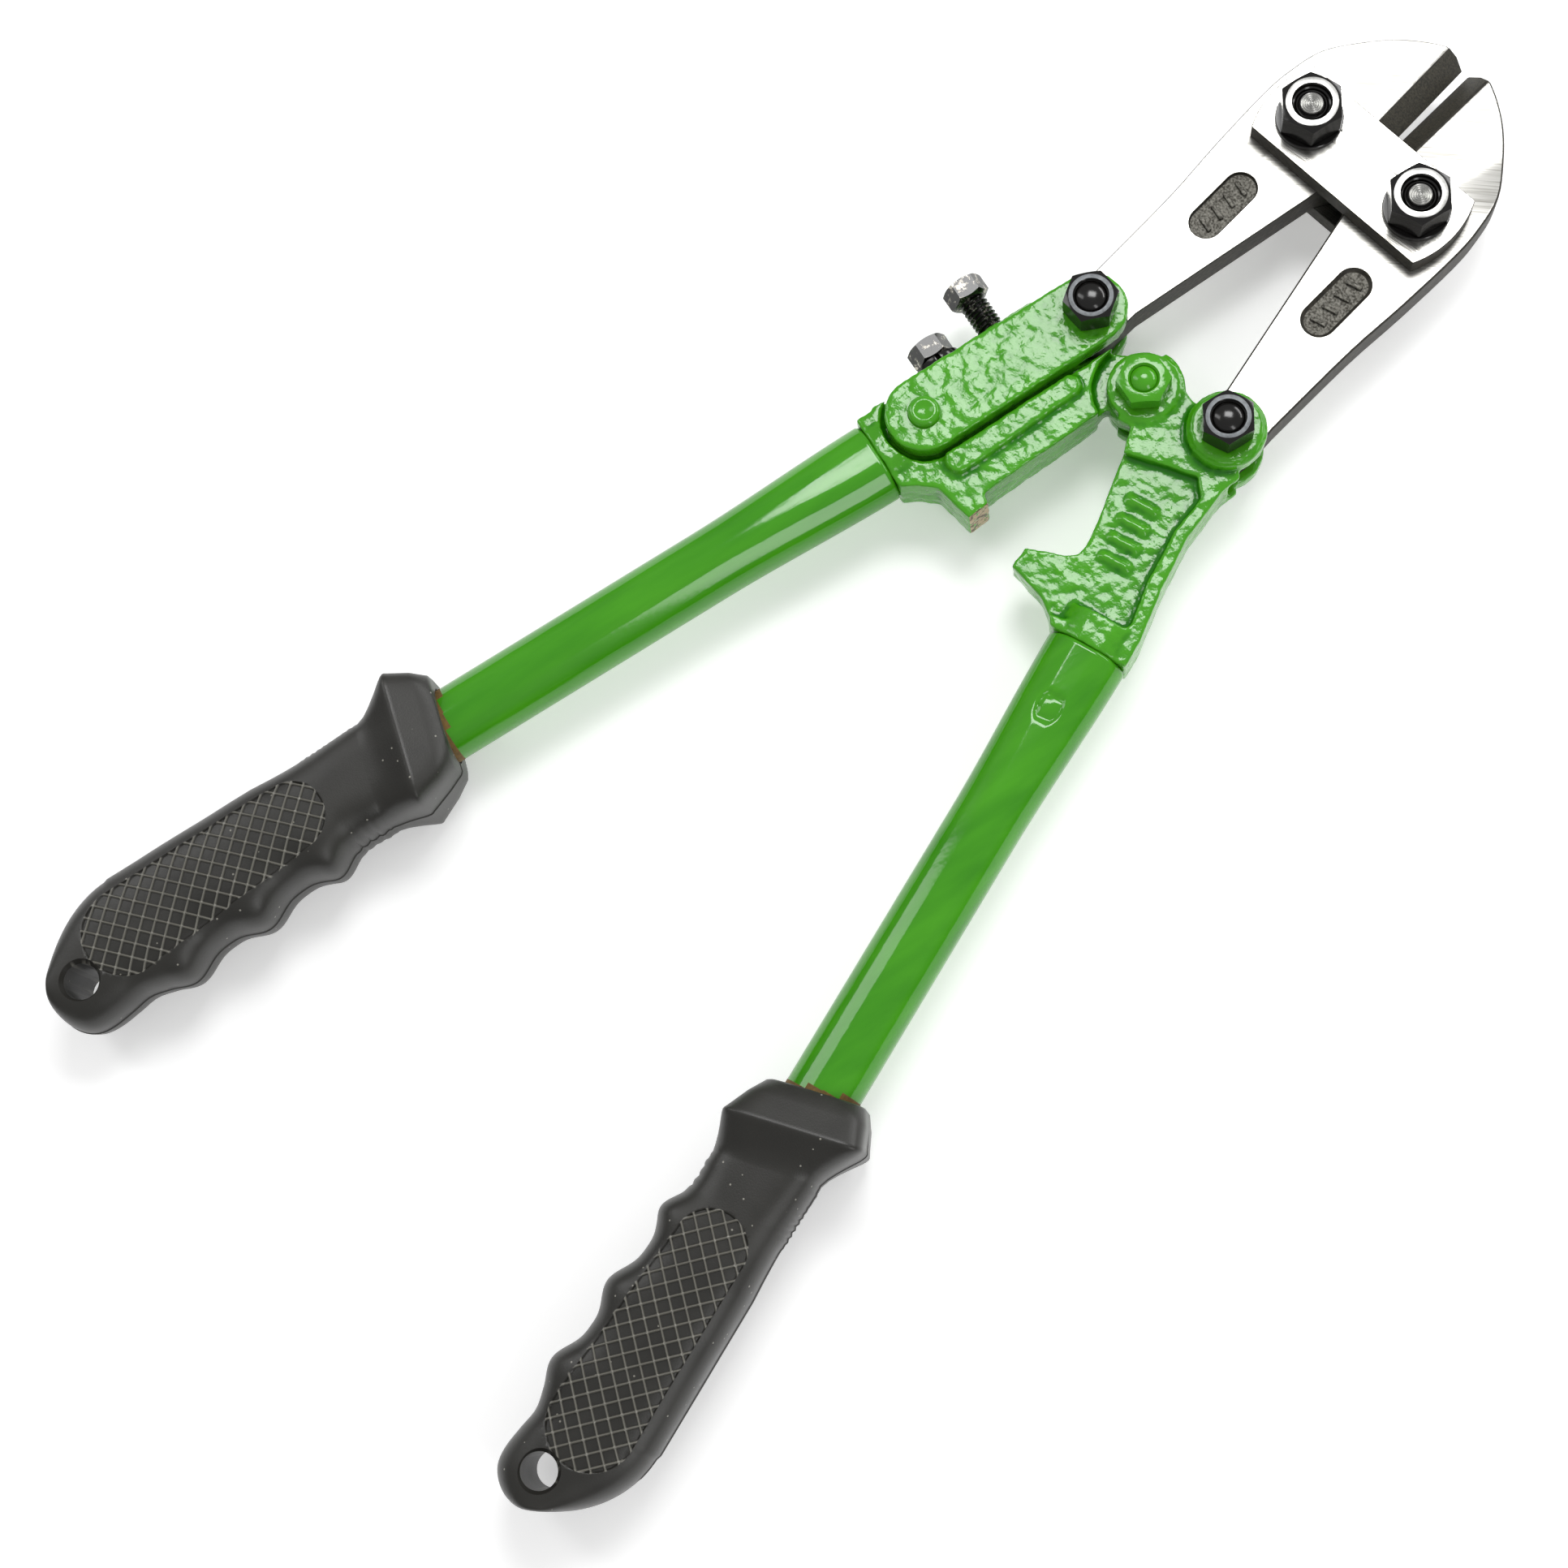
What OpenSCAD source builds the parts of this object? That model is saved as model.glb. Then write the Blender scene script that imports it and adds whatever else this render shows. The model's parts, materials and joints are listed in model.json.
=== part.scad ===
// Hand bolt cutters with two centre-cut jaws, a compound toggle linkage and tubular handles.
// The tool lies flat. +Y points to the jaw tips, +Z is the side with the nuts.
// The linkage is drawn about the centre pivot and moved to the part's own origin at the end.
// Half "b" lies at +X. Half "a" at -X is drawn in the same sense and then mirrored.

/* [Jaws and head] */
// Distance between the two jaw pivots
jaw_pitch = 29.8; // [28:0.1:36]
// Jaw pivot to cutting tip
jaw_reach = 33.5; // [30:0.5:42]
// Jaw pivot to the pivot in the jaw's tail
tail_reach = 61.2; // [54:0.1:74]
// Angle of the jaw's tail from the tool's length, at rest
tail_lean = 3.95; // [3:0.05:5]
// Thickness of a jaw
jaw_t = 7.9; // [6:0.1:10]
// Jaw pivot to the outer back edge of the jaw
jaw_back = 12.1; // [10.5:0.1:15]
// Radius of the round eye at the end of the jaw's tail
tail_eye_r = 6.5; // [6:0.1:8]
// Width of each cutting bevel on the jaw's face
bevel_w = 4.75; // [3.5:0.05:6]
// Length of the milled pocket in the jaw's face
pocket_len = 17.4; // [12:0.1:20]
// Width of the milled pocket
pocket_w = 7; // [5:0.1:8]
// Depth of the milled pocket
pocket_depth = 0.8; // [0.4:0.1:1.4]
// Thickness of a head plate
plate_t = 4.5; // [3.5:0.1:6]
// Width of a head plate, along the tool
plate_w = 18.7; // [16:0.1:24]
// Jaw pivot to the end of a head plate
plate_over = 9.7; // [8.5:0.1:12]

/* [Linkage] */
// Height of the tail pivots above the centre pivot, along the tool
tail_rise = 4.33; // [3.6:0.01:5.2]
// Angle that each handle closes from rest until the stops meet
close_angle = 8.7; // [7:0.1:9.5]
// Angle that each handle opens from rest
open_angle = 28; // [20:1:28]
// Turn of a jaw for each degree that its handle turns
jaw_ratio = 0.115; // [0.1:0.001:0.12]
// Turn allowed to the adjusting link each way
link_swing = 0.8; // [0.4:0.1:0.8]
// Tail pivot to the rivet, along the adjusting link
link_len = 41; // [38:0.5:46]
// Angle of the adjusting link from the tool's length
link_lean = 12.9; // [12:0.1:14]
// Round end of the adjusting link at the tail pivot
link_r = 7.8; // [7.4:0.1:9]
// Round end of the adjusting link at the rivet
link_end_r = 8.3; // [7.6:0.1:9]

/* [Castings] */
// Half the thickness over the tail ears and the adjusting link
ear_z = 9.2; // [8.6:0.1:11]
// Half the thickness over the centre hub
hub_z = 6.4; // [6:0.1:8]
// Half the thickness of the casting's web and rim
web_z = 5.8; // [5.4:0.1:7]
// Half the thickness at the floor of the casting's panel
panel_z = 3.6; // [3:0.1:4.2]
// Radius of the centre hub's ears
hub_r = 8.8; // [8.6:0.1:10]
// Radius of the tail boss
tail_boss_r = 8.4; // [8:0.1:9.5]
// Half the thickness of the middle tongue at the centre pivot
tongue_z = 2.45; // [2:0.05:2.8]
// Centre pivot to the handle stops
stop_reach = 43.2; // [38:0.1:48]
// Length of a handle stop's face
stop_len = 5.4; // [4:0.1:7]

/* [Handles] */
// Angle of each handle from the tool's length, at rest
handle_angle = 13.7; // [12:0.1:15]
// Centre pivot to the collar, along the handle
collar_reach = 53.7; // [51:0.1:60]
// Centre pivot to the handle's axis, across the handle
collar_offset = 17.85; // [17:0.05:20]
// Width of the flattened top end of a tube
oval_w = 17.6; // [16.5:0.1:19]
// Thickness of the flattened top end of a tube
oval_t = 14; // [13:0.1:15]
// Diameter of a tube where it is round
tube_d = 15.3; // [14.6:0.1:17]
// Wall of a tube
tube_wall = 1.4; // [1:0.1:2]
// Bare length of tube between collar and grip
tube_bare = 105.5; // [80:0.5:130]
// Length over which a tube changes from flattened to round
oval_len = 42; // [30:1:60]
// Length of tube inside the grip
tube_in_grip = 78; // [60:1:80]
// Length of the casting's spigot inside the tube
spigot_len = 28; // [20:1:36]

/* [Grips] */
// Grip mouth to the centre of the hang hole
hole_reach = 90.2; // [86:0.1:100]
// Hang hole to the tube's axis
hole_offset = 8.4; // [8:0.1:10]
// Diameter of the hang hole
hang_hole_d = 7.5; // [6:0.1:9]
// Radius of the grip's end around the hang hole
grip_end_r = 9.2; // [8.4:0.1:11]
// Half the thickness of the grip
grip_z = 11.4; // [10.5:0.1:12.5]
// Half the width of the flange at the grip's mouth
flange_w = 14; // [13:0.1:16]
// Half the thickness of the flange at the grip's mouth
flange_z = 13.4; // [12.5:0.1:14.4]
// Distance between finger ridges
finger_pitch = 18.5; // [17:0.1:20]
// Height of a finger ridge from its mean line
finger_h = 1.2; // [0.6:0.1:1.6]

/* [Fasteners] */
// Diameter of the jaw bolts
bolt_d = 8; // [6.6:0.01:8.5]
// Diameter of the tail bolts
tail_bolt_d = 6.8; // [5.6:0.01:8.2]
// Width across flats of the jaw nuts
nut_af = 12; // [11.5:0.1:13.5]
// Width across flats of the tail nuts
tail_nut_af = 10.2; // [9.8:0.1:12]
// Height of the nuts on the head plates
nut_h = 7.1; // [6:0.1:8]
// Height of the nuts on the tail pivots
tail_nut_h = 6.4; // [5.5:0.1:7.5]
// Height of a bolt's hexagon head
head_h = 5.3; // [4:0.1:5.3]
// Radius of a head plate's washer
washer_r = 7.1; // [6.8:0.1:8]
// Thickness of a head plate's washer
washer_t = 1; // [0.6:0.1:1.4]
// Diameter of the centre bolt
centre_bolt_d = 6; // [5:0.1:6.5]
// Width across flats of the centre nut
centre_nut_af = 10; // [9:0.1:11]
// Height of the centre nut
centre_nut_h = 4.6; // [3.5:0.1:5.5]
// Diameter of the adjusting screw and the lock bolt
screw_d = 6; // [5:0.1:6.2]
// Width across flats of their heads
screw_af = 8; // [7.8:0.1:9]
// Adjusting screw, from the tail pivot along the link
adjust_at = 18; // [16:0.5:20]
// Lock bolt, from the tail pivot along the link
lock_at = 31.4; // [30:0.1:33]
// Diameter of the rivet's shank
rivet_d = 5; // [4:0.1:5.6]

/* [Hidden] */
$fn = 64;

run_fit = 0.05;          // radial clearance of a pin that turns
side_fit = 0.15;         // clearance beside a part that turns between two faces
jaw_contact_gap = 0.06;  // left between the cutting edges when closed
stop_contact_gap = 0.2;  // left between the handle stops when closed
pocket_gap = 0.9;        // clearance around the adjusting link in its casting
swage_steps = 7;         // steps in which a tube turns from flattened to round
far = 200;               // longer than anything that is cut

// Joint positions, from the centre pivot at [0, 0]
tail = [jaw_pitch / 2 + tail_reach * sin(tail_lean), tail_rise];
toggle_reach = norm(tail);
toggle_rise = atan2(tail.y, tail.x);
jaw_pivot = [jaw_pitch / 2, tail.y + tail_reach * cos(tail_lean)];
jaw_rest = jaw_ratio * close_angle;
tail_closed = jaw_pivot + tail_reach * [sin(tail_lean + jaw_rest), -cos(tail_lean + jaw_rest)];
link_dir = [sin(link_lean), -cos(link_lean)];
rivet = tail + link_len * link_dir;
tip_y = jaw_pivot.y + jaw_reach;

// Each half is driven at a constant ratio, so the middle tongue's hole is oversize by the drift
function drift(turn) = jaw_pitch / 2 + tail_reach * sin(tail_lean - jaw_ratio * turn)
    - toggle_reach * cos(toggle_rise + turn);
hub_drift = 2 * max([for (turn = [-close_angle : 0.1 : open_angle]) abs(drift(turn))])
    + norm(rivet) * sin(link_swing);
tongue_hole_r = centre_bolt_d / 2 + hub_drift + run_fit;
tongue_r = tongue_hole_r + 2.6;
hub_slot_r = tongue_r + hub_drift + 0.2;
hub_slot_z = tongue_z + side_fit;
ear_gap_z = jaw_t / 2 + side_fit;
tail_slot_r = tail_eye_r + 1;

// Handle frame: origin at the collar, x outward, y towards the head
handle_dir = [sin(handle_angle), -cos(handle_angle)];
handle_out = [cos(handle_angle), sin(handle_angle)];
collar = collar_reach * handle_dir + collar_offset * handle_out;
function in_handle(x, y) = collar + x * handle_out - y * handle_dir;
function in_link(along, out) = tail + along * link_dir + out * [cos(link_lean), sin(link_lean)];

plate_z = jaw_t / 2 + run_fit;
plate_top = plate_z + plate_t;
bolt_r = bolt_d / 2;
tail_bolt_r = tail_bolt_d / 2;
rib_r = 2.4;             // radius of the rib on casting a
rib_proud = 1.4;         // rib's height over the web
link_web_in = link_r - 3.6;   // inner face of the web that joins the link's plates
link_web_end = link_len - 7;  // that web's end, along the link
screw_head_h = 4.8;
flat_washer_t = 1.3;
flat_washer_r = 6;
spring_washer_t = 1.7;
spring_washer_r = 5.2;
centre_head_h = 4;
bolt_end_chamfer = 1;
tail_bolt_proud = 0.5;   // tail bolt's domed end over its nut
centre_bolt_proud = 0.6; // centre bolt's end over its nut
jaw_bolt_sunk = 0.6;     // jaw bolt's end below the top of its nut
hole = [-hole_offset, -tube_bare - hole_reach];
grip_end_y = in_handle(hole.x, hole.y).y - grip_end_r;

// The part's origin is under the middle of its bounding box
origin_y = -(tip_y + grip_end_y) / 2;
origin_z = ear_z + head_h;

green = "#4FA82A";
steel = "#D9D8D2";
black = "#2B2A29";
rubber = "#3B3935";

module tool_frame() {
    translate([0, origin_y, origin_z]) children();
}

module half_a() {
    tool_frame() mirror([1, 0, 0]) children();
}

module half_b() {
    tool_frame() children();
}

module at(p) {
    translate([p.x, p.y, 0]) children();
}

module slab(bottom, top) {
    translate([0, 0, bottom]) linear_extrude(top - bottom) children();
}

module both_sides(low, high) {
    slab(low, high) children();
    slab(-high, -low) children();
}

// Flat bar with two round ends
module bar(p, q, p_r, q_r) {
    run = norm(q - p);
    heading = atan2(q.y - p.y, q.x - p.x);
    lean = acos((p_r - q_r) / run);
    at(p) circle(p_r);
    at(q) circle(q_r);
    polygon([p + p_r * [cos(heading + lean), sin(heading + lean)],
             q + q_r * [cos(heading + lean), sin(heading + lean)],
             q + q_r * [cos(heading - lean), sin(heading - lean)],
             p + p_r * [cos(heading - lean), sin(heading - lean)]]);
}

module hexagon(across) {
    circle(r = across / sqrt(3), $fn = 6);
}

// Points of a smooth curve through the given ones
function through(p, steps) = concat([for (i = [0 : len(p) - 2], step = [0 : steps - 1])
    let (t = step / steps, a = p[max(i - 1, 0)], b = p[i], c = p[i + 1], d = p[min(i + 2, len(p) - 1)])
    b + (c - a) * t / 2 + (2 * a - 5 * b + 4 * c - d) * t * t / 2 + (3 * b - a - 3 * c + d) * t * t * t / 2],
    [p[len(p) - 1]]);

// Everything beyond the tool's centre line once this half is closed, seen from the jaw
module past_centre_jaw(gap) {
    at(jaw_pivot) rotate(-jaw_rest) translate([-jaw_pivot.x + gap - far, -far]) square([far, 2 * far]);
}

// The same, seen from the handle
module past_centre_handle(gap) {
    at(tail) rotate(close_angle) translate([-tail_closed.x + gap - far, -far]) square([far, 2 * far]);
}

// ---- head ----

module head_plate(bottom) {
    corner = jaw_pivot.x + plate_over - 2.2;
    end_r = plate_w * 1.12;
    difference() {
        slab(bottom, bottom + plate_t) intersection() {
            translate([-corner - 5, jaw_pivot.y - plate_w / 2]) square([2 * corner + 10, plate_w]);
            union() {
                for (side = [-1, 1])
                    translate([side * (jaw_pivot.x + plate_over - end_r), jaw_pivot.y]) circle(end_r);
                translate([-corner / 2, jaw_pivot.y - plate_w]) square([corner, 2 * plate_w]);
            }
        }
        for (side = [-1, 1])
            translate([side * jaw_pivot.x, jaw_pivot.y, -far]) cylinder(r = bolt_r, h = 2 * far);
    }
}

module front_plate() {
    color(steel) tool_frame() head_plate(plate_z);
}

module rear_plate() {
    color(steel) tool_frame() head_plate(-plate_top);
}

// Bolt along Z with its hexagon head below
module bolt(seat, head, across, end, r) {
    slab(seat - head, seat) hexagon(across);
    slab(seat, end - bolt_end_chamfer) circle(r);
    translate([0, 0, end - bolt_end_chamfer]) cylinder(r1 = r, r2 = r - 0.9, h = bolt_end_chamfer);
}

module nut(seat, h, across, r) {
    difference() {
        slab(seat, seat + h) intersection() {
            hexagon(across);
            circle(across * 0.565);
        }
        translate([0, 0, -far]) cylinder(r = r, h = 2 * far);
    }
}

module jaw_bolt() {
    at(jaw_pivot) bolt(-plate_top, head_h, nut_af, plate_top + washer_t + nut_h - jaw_bolt_sunk, bolt_r);
}

module jaw_bolt_a() {
    color(black) half_a() jaw_bolt();
}

module jaw_bolt_b() {
    color(black) half_b() jaw_bolt();
}

module jaw_nut() {
    at(jaw_pivot) nut(plate_top + washer_t, nut_h, nut_af, bolt_r);
}

module jaw_nut_a() {
    color(black) half_a() jaw_nut();
}

module jaw_nut_b() {
    color(black) half_b() jaw_nut();
}

module jaw_washer() {
    at(jaw_pivot) difference() {
        slab(plate_top, plate_top + washer_t) circle(washer_r);
        translate([0, 0, -far]) cylinder(r = bolt_r, h = 2 * far);
    }
}

module jaw_washer_a() {
    color(steel) half_a() jaw_washer();
}

module jaw_washer_b() {
    color(steel) half_b() jaw_washer();
}

// ---- jaws ----

// Outline of one jaw: tip, curved back, straight tail to the eye, and the inner edge
module jaw_outline() {
    eye = tail_eye_r;
    back = through([jaw_pivot + [6.2 - jaw_pivot.x, jaw_reach - 0.4],
                    jaw_pivot + [-4.9, jaw_reach - 2.5],
                    jaw_pivot + [0.1, jaw_reach - 6.3],
                    jaw_pivot + [5.1, jaw_reach - 11.8],
                    jaw_pivot + [jaw_back - 2.4, jaw_reach - 18.5],
                    jaw_pivot + [jaw_back - 0.6, 7.7],
                    jaw_pivot + [jaw_back, 0],
                    jaw_pivot + [jaw_back - 0.5, -0.25 * tail_reach],
                    jaw_pivot + [jaw_back - 1.5, -0.5 * tail_reach],
                    tail + [eye - 0.35, 8]], 4);
    difference() {
        polygon(concat([jaw_pivot + [-jaw_pivot.x, jaw_reach - 1], jaw_pivot + [3.4 - jaw_pivot.x, jaw_reach]],
            back,
            [tail + eye * [cos(5), sin(5)], tail + [0, -eye / 2], tail + eye * [cos(170), sin(170)],
             tail + [-eye, 6.8], jaw_pivot + [-10.3, -14.3], jaw_pivot + [-11.3, -9.3], jaw_pivot + [-13.4, -6],
             jaw_pivot + [0.4 - jaw_pivot.x, -0.8], jaw_pivot + [-jaw_pivot.x - 1, 1.8]]));
        past_centre_jaw(jaw_contact_gap / 2);
    }
}

// Wedge above a cutting bevel, running along the tool
module bevel_cut() {
    at(jaw_pivot) rotate(-jaw_rest) translate([-jaw_pivot.x + jaw_contact_gap / 2, far, 0])
        rotate([90, 0, 0]) linear_extrude(far - 6)
            polygon([[-1, -0.01], [0.15, -0.01], [bevel_w, jaw_t / 2 + 0.01], [bevel_w, far], [-1, far]]);
}

module jaw() {
    pocket = [jaw_pivot.x + 1, jaw_pivot.y - 0.4 * tail_reach];
    half = (pocket_len - pocket_w) / 2;
    difference() {
        union() {
            slab(-jaw_t / 2, jaw_t / 2) jaw_outline();
            at(tail) slab(-jaw_t / 2, jaw_t / 2) circle(tail_eye_r);
        }
        bevel_cut();
        mirror([0, 0, 1]) bevel_cut();
        both_sides(jaw_t / 2 - pocket_depth, jaw_t)
            bar(pocket - [0, half], pocket + [0, half], pocket_w / 2, pocket_w / 2);
        translate([jaw_pivot.x, jaw_pivot.y, -far]) cylinder(r = bolt_r + run_fit, h = 2 * far);
        translate([tail.x, tail.y, -far]) cylinder(r = tail_bolt_r + run_fit, h = 2 * far);
    }
}

module jaw_a() {
    color(steel) half_a() jaw();
}

module jaw_b() {
    color(steel) half_b() jaw();
}

// ---- castings ----

// Rounded oblong across the handle, wide in x
module oblong(w, t) {
    bar([-(w - t) / 2, 0], [(w - t) / 2, 0], t / 2, t / 2);
}

// Solid along the handle axis, from one height to another
module along_handle(from, to) {
    at(collar) rotate(handle_angle) translate([0, to, 0]) rotate([90, 0, 0])
        linear_extrude(to - from) children();
}

// Collar that carries the tube, and the spigot inside it
module collar_and_spigot() {
    along_handle(0, 7) oblong(oval_w, oval_t);
    along_handle(-spigot_len, 1)
        oblong(tube_d - 2 * tube_wall - 0.2, oval_t - 2 * tube_wall - 0.2);
}

// Outer wall of a casting, from the tail boss to the collar
function outer_wall() = [in_handle(oval_w / 2, 0), in_handle(oval_w / 2, 6), in_handle(7, 18),
    in_handle(6.2, 30), in_handle(7.4, 42), tail + [tail_boss_r + 0.4, -5]];

// Inner edge of casting b, from the hub down to the top of its stop
function inner_edge_b() = [[hub_r * 0.47, -hub_r * 0.95], in_handle(-14.5, 39.6), in_handle(-13.3, 32.7),
    in_handle(-12, 24.9), in_handle(-11.6, 21.1), in_handle(-11.4, 18.4), in_handle(-12, 16.4),
    in_handle(-13.4, 15.4), [6.6, -stop_reach + stop_len / 2], [0, -stop_reach + stop_len / 2 - 4]];

// The same edge of casting a, whose web reaches further in
function inner_edge_a() = [[hub_r * 0.47 - 1.2, -hub_r * 0.95], in_handle(-17.7, 42), in_handle(-18.4, 31.9),
    in_handle(-19.2, 17.2), in_handle(-19.6, 14), [0, -stop_reach + stop_len / 2 - 1]];

// Lower edge of a stop, out to the collar
function stop_foot(rise) = [[1, -stop_reach - stop_len / 2 + 0.6], in_handle(-13.4, 4.6 + rise),
    in_handle(-10.6, 2.4 + rise / 2), in_handle(-oval_w / 2, 0)];

module casting_b_outline() {
    difference() {
        union() {
            circle(hub_r);
            at(tail) circle(tail_boss_r);
            polygon(concat(outer_wall(), [tail, [tail.x - tail_boss_r - 1.4, tail.y + 0.5],
                [hub_r * 0.7, hub_r * 0.63], [0, 0]], inner_edge_b(), stop_foot(0)));
        }
        past_centre_handle(stop_contact_gap / 2);
    }
}

// Sunk panel on both faces of casting b, open on its inner side
module panel_outline() {
    polygon([in_handle(-24, 37.4), in_handle(-6, 41), in_handle(1.4, 42.2), in_handle(4.2, 38.6),
             in_handle(3, 30), in_handle(3.6, 18), in_handle(5.2, 8.2), in_handle(2, 4.6),
             in_handle(-12, 2), in_handle(-30, -4), in_handle(-32, 36)]);
}

module casting_b() {
    color(green) half_b() difference() {
        union() {
            slab(-panel_z, panel_z) casting_b_outline();
            slab(-web_z, web_z) difference() {
                casting_b_outline();
                panel_outline();
            }
            slab(-hub_z, hub_z) circle(hub_r - 1.2);
            at(tail) slab(-ear_z, ear_z) circle(tail_boss_r - 0.8);
            at(tail) slab(-ear_z + 1, ear_z - 1) circle(tail_boss_r);
            collar_and_spigot();
        }
        // slot for the middle tongue
        slab(-hub_slot_z, hub_slot_z) union() {
            circle(hub_slot_r);
            translate([-far, -far]) square([far, 2 * far]);
        }
        // slot for the jaw's tail
        slab(-ear_gap_z, ear_gap_z) at(tail) {
            circle(tail_slot_r);
            polygon([[-tail_slot_r, 0], [-tail_slot_r - 3, 9], [-tail_slot_r - 3, 30], [30, 30],
                     [30, -tail_slot_r + 0.4], [0, -tail_slot_r]]);
        }
        at(tail) translate([0, 0, -far]) cylinder(r = tail_bolt_r, h = 2 * far);
        translate([0, 0, -far]) cylinder(r = centre_bolt_d / 2, h = 2 * far);
    }
}

// Outline of casting a. Its outer edge lies between the link's plates
module casting_a_core() {
    difference() {
        polygon(concat([in_handle(oval_w / 2, 0), in_handle(oval_w / 2, 4), in_link(link_len + 8, link_end_r),
            in_link(link_web_end + 4, link_end_r - 1.2), in_link(link_web_end + 1.2, link_web_in - 0.6),
            in_link(10, link_web_in - 0.6), in_link(8, -7.5), in_link(1, -8.4), [tongue_r * 0.8, tongue_r * 0.62],
            [0, 0]], inner_edge_a(), stop_foot(2)));
        past_centre_handle(stop_contact_gap / 2);
        at(tail) circle(tail_slot_r + 0.2);
    }
}

module casting_a() {
    color(green) half_a() difference() {
        union() {
            slab(-jaw_t / 2, jaw_t / 2) casting_a_core();
            slab(-tongue_z, tongue_z) circle(tongue_r);
            slab(-web_z, web_z) difference() {
                casting_a_core();
                circle(hub_slot_r);
            }
            slab(-web_z - rib_proud, web_z + rib_proud)
                bar(in_link(12.5, -link_r - pocket_gap - rib_r), in_link(40, -link_r - pocket_gap - rib_r - 0.6),
                    rib_r, rib_r + 0.6);
            collar_and_spigot();
        }
        // the hub's ears turn over the tongue
        both_sides(tongue_z, far) circle(hub_slot_r);
        // seats of the adjusting link's two plates
        both_sides(ear_gap_z - side_fit, far) bar(tail, rivet, link_r + pocket_gap, link_end_r + pocket_gap);
        at(rivet) translate([0, 0, -far]) cylinder(r = rivet_d / 2, h = 2 * far);
        translate([0, 0, -far]) cylinder(r = tongue_hole_r, h = 2 * far);
        across_link(lock_at, -6, link_r) circle(screw_d / 2 + 0.7);
    }
}

// Solid across the link, from one distance out to another
module across_link(along, from, to) {
    at(in_link(along, 0)) rotate(link_lean) translate([from, 0, 0]) rotate([90, 0, 90])
        linear_extrude(to - from) children();
}

module adjusting_link() {
    color(green) half_a() difference() {
        union() {
            both_sides(ear_gap_z, ear_z) bar(tail, rivet, link_r, link_end_r);
            slab(-ear_gap_z, ear_gap_z) polygon([in_link(8.5, link_web_in), in_link(8.5, link_r - 0.4),
                in_link(link_web_end, link_r + 0.2), in_link(link_web_end, link_web_in)]);
            slab(-ear_z + 1.6, ear_z - 1.6) polygon([in_link(8.5, link_r - 1), in_link(9.5, link_r + 0.9),
                in_link(lock_at - 6.4, link_r + 1), in_link(lock_at - 6.2, link_r), in_link(lock_at - 6.2, link_r - 1)]);
        }
        at(tail) translate([0, 0, -far]) cylinder(r = tail_bolt_r, h = 2 * far);
        at(rivet) translate([0, 0, -far]) cylinder(r = rivet_d / 2 + run_fit, h = 2 * far);
        for (along = [adjust_at, lock_at])
            across_link(along, 0, far) circle(screw_d / 2 + run_fit);
        // flat seat of the lock washer
        across_link(lock_at, link_r, far) circle(flat_washer_r + 0.1);
    }
}

module link_rivet() {
    head_r = rivet_d / 2 + 0.9;
    color(green) half_a() at(rivet) {
        slab(-ear_z - 0.5, ear_z + 0.5) circle(rivet_d / 2);
        for (side = [0, 1]) mirror([0, 0, side]) {
            slab(ear_z + run_fit, ear_z + 0.8) circle(head_r);
            translate([0, 0, ear_z + 0.8]) cylinder(r1 = head_r, r2 = head_r - 1, h = 0.6);
        }
    }
}

// ---- pivots of the linkage ----

module tail_bolt() {
    at(tail) bolt(-ear_z, head_h, tail_nut_af, ear_z + tail_nut_h + tail_bolt_proud, tail_bolt_r);
}

module tail_bolt_a() {
    color(black) half_a() tail_bolt();
}

module tail_bolt_b() {
    color(black) half_b() tail_bolt();
}

module tail_nut() {
    at(tail) nut(ear_z, tail_nut_h, tail_nut_af, tail_bolt_r);
}

module tail_nut_a() {
    color(black) half_a() tail_nut();
}

module tail_nut_b() {
    color(black) half_b() tail_nut();
}

module pivot_bolt() {
    color(green) tool_frame()
        bolt(-hub_z, centre_head_h, centre_nut_af, hub_z + centre_nut_h + centre_bolt_proud, centre_bolt_d / 2);
}

module pivot_nut() {
    color(green) tool_frame() nut(hub_z, centre_nut_h, centre_nut_af, centre_bolt_d / 2);
}

// ---- adjusting screw and lock bolt ----

module screw(along, tip, seat, head) {
    across_link(along, tip, seat) circle(screw_d / 2);
    across_link(along, seat, seat + head) rotate(30) hexagon(screw_af);
}

module adjusting_screw() {
    color(black) half_a() screw(adjust_at, link_web_in - 0.1, link_r + 10, screw_head_h);
}

module lock_bolt() {
    seat = link_r + flat_washer_t + spring_washer_t;
    color(black) half_a() screw(lock_at, -4, seat, screw_head_h);
}

module ring_washer(r, from, to) {
    across_link(lock_at, from, to) difference() {
        circle(r);
        circle(screw_d / 2 + run_fit);
    }
}

module lock_washer() {
    color(black) half_a() ring_washer(flat_washer_r, link_r, link_r + flat_washer_t);
}

module spring_washer() {
    color(black) half_a() ring_washer(spring_washer_r, link_r + flat_washer_t, link_r + flat_washer_t + spring_washer_t);
}

// ---- tubes and grips ----

// The flattened end turns round in short steps of constant section
module tube_shape(wall, spare) {
    step = oval_len / swage_steps;
    for (i = [0 : swage_steps - 1]) {
        flat = 1 - i / swage_steps;
        along_handle(-(i + 1) * step, -i * step + (i == 0 ? spare : 0))
            oblong(tube_d + flat * (oval_w - tube_d) - 2 * wall, tube_d + flat * (oval_t - tube_d) - 2 * wall);
    }
    along_handle(-tube_bare - tube_in_grip - spare, -oval_len) circle(tube_d / 2 - wall);
}

module tube() {
    difference() {
        tube_shape(0, 0);
        tube_shape(tube_wall, 1);
    }
}

module tube_a() {
    color(green) half_a() tube();
}

module tube_b() {
    color(green) half_b() tube();
}

// Distances down the grip are measured from its mouth
finger_first = 34.2;
neck_at = 17;
side_x = tube_d / 2 + 1;

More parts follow.
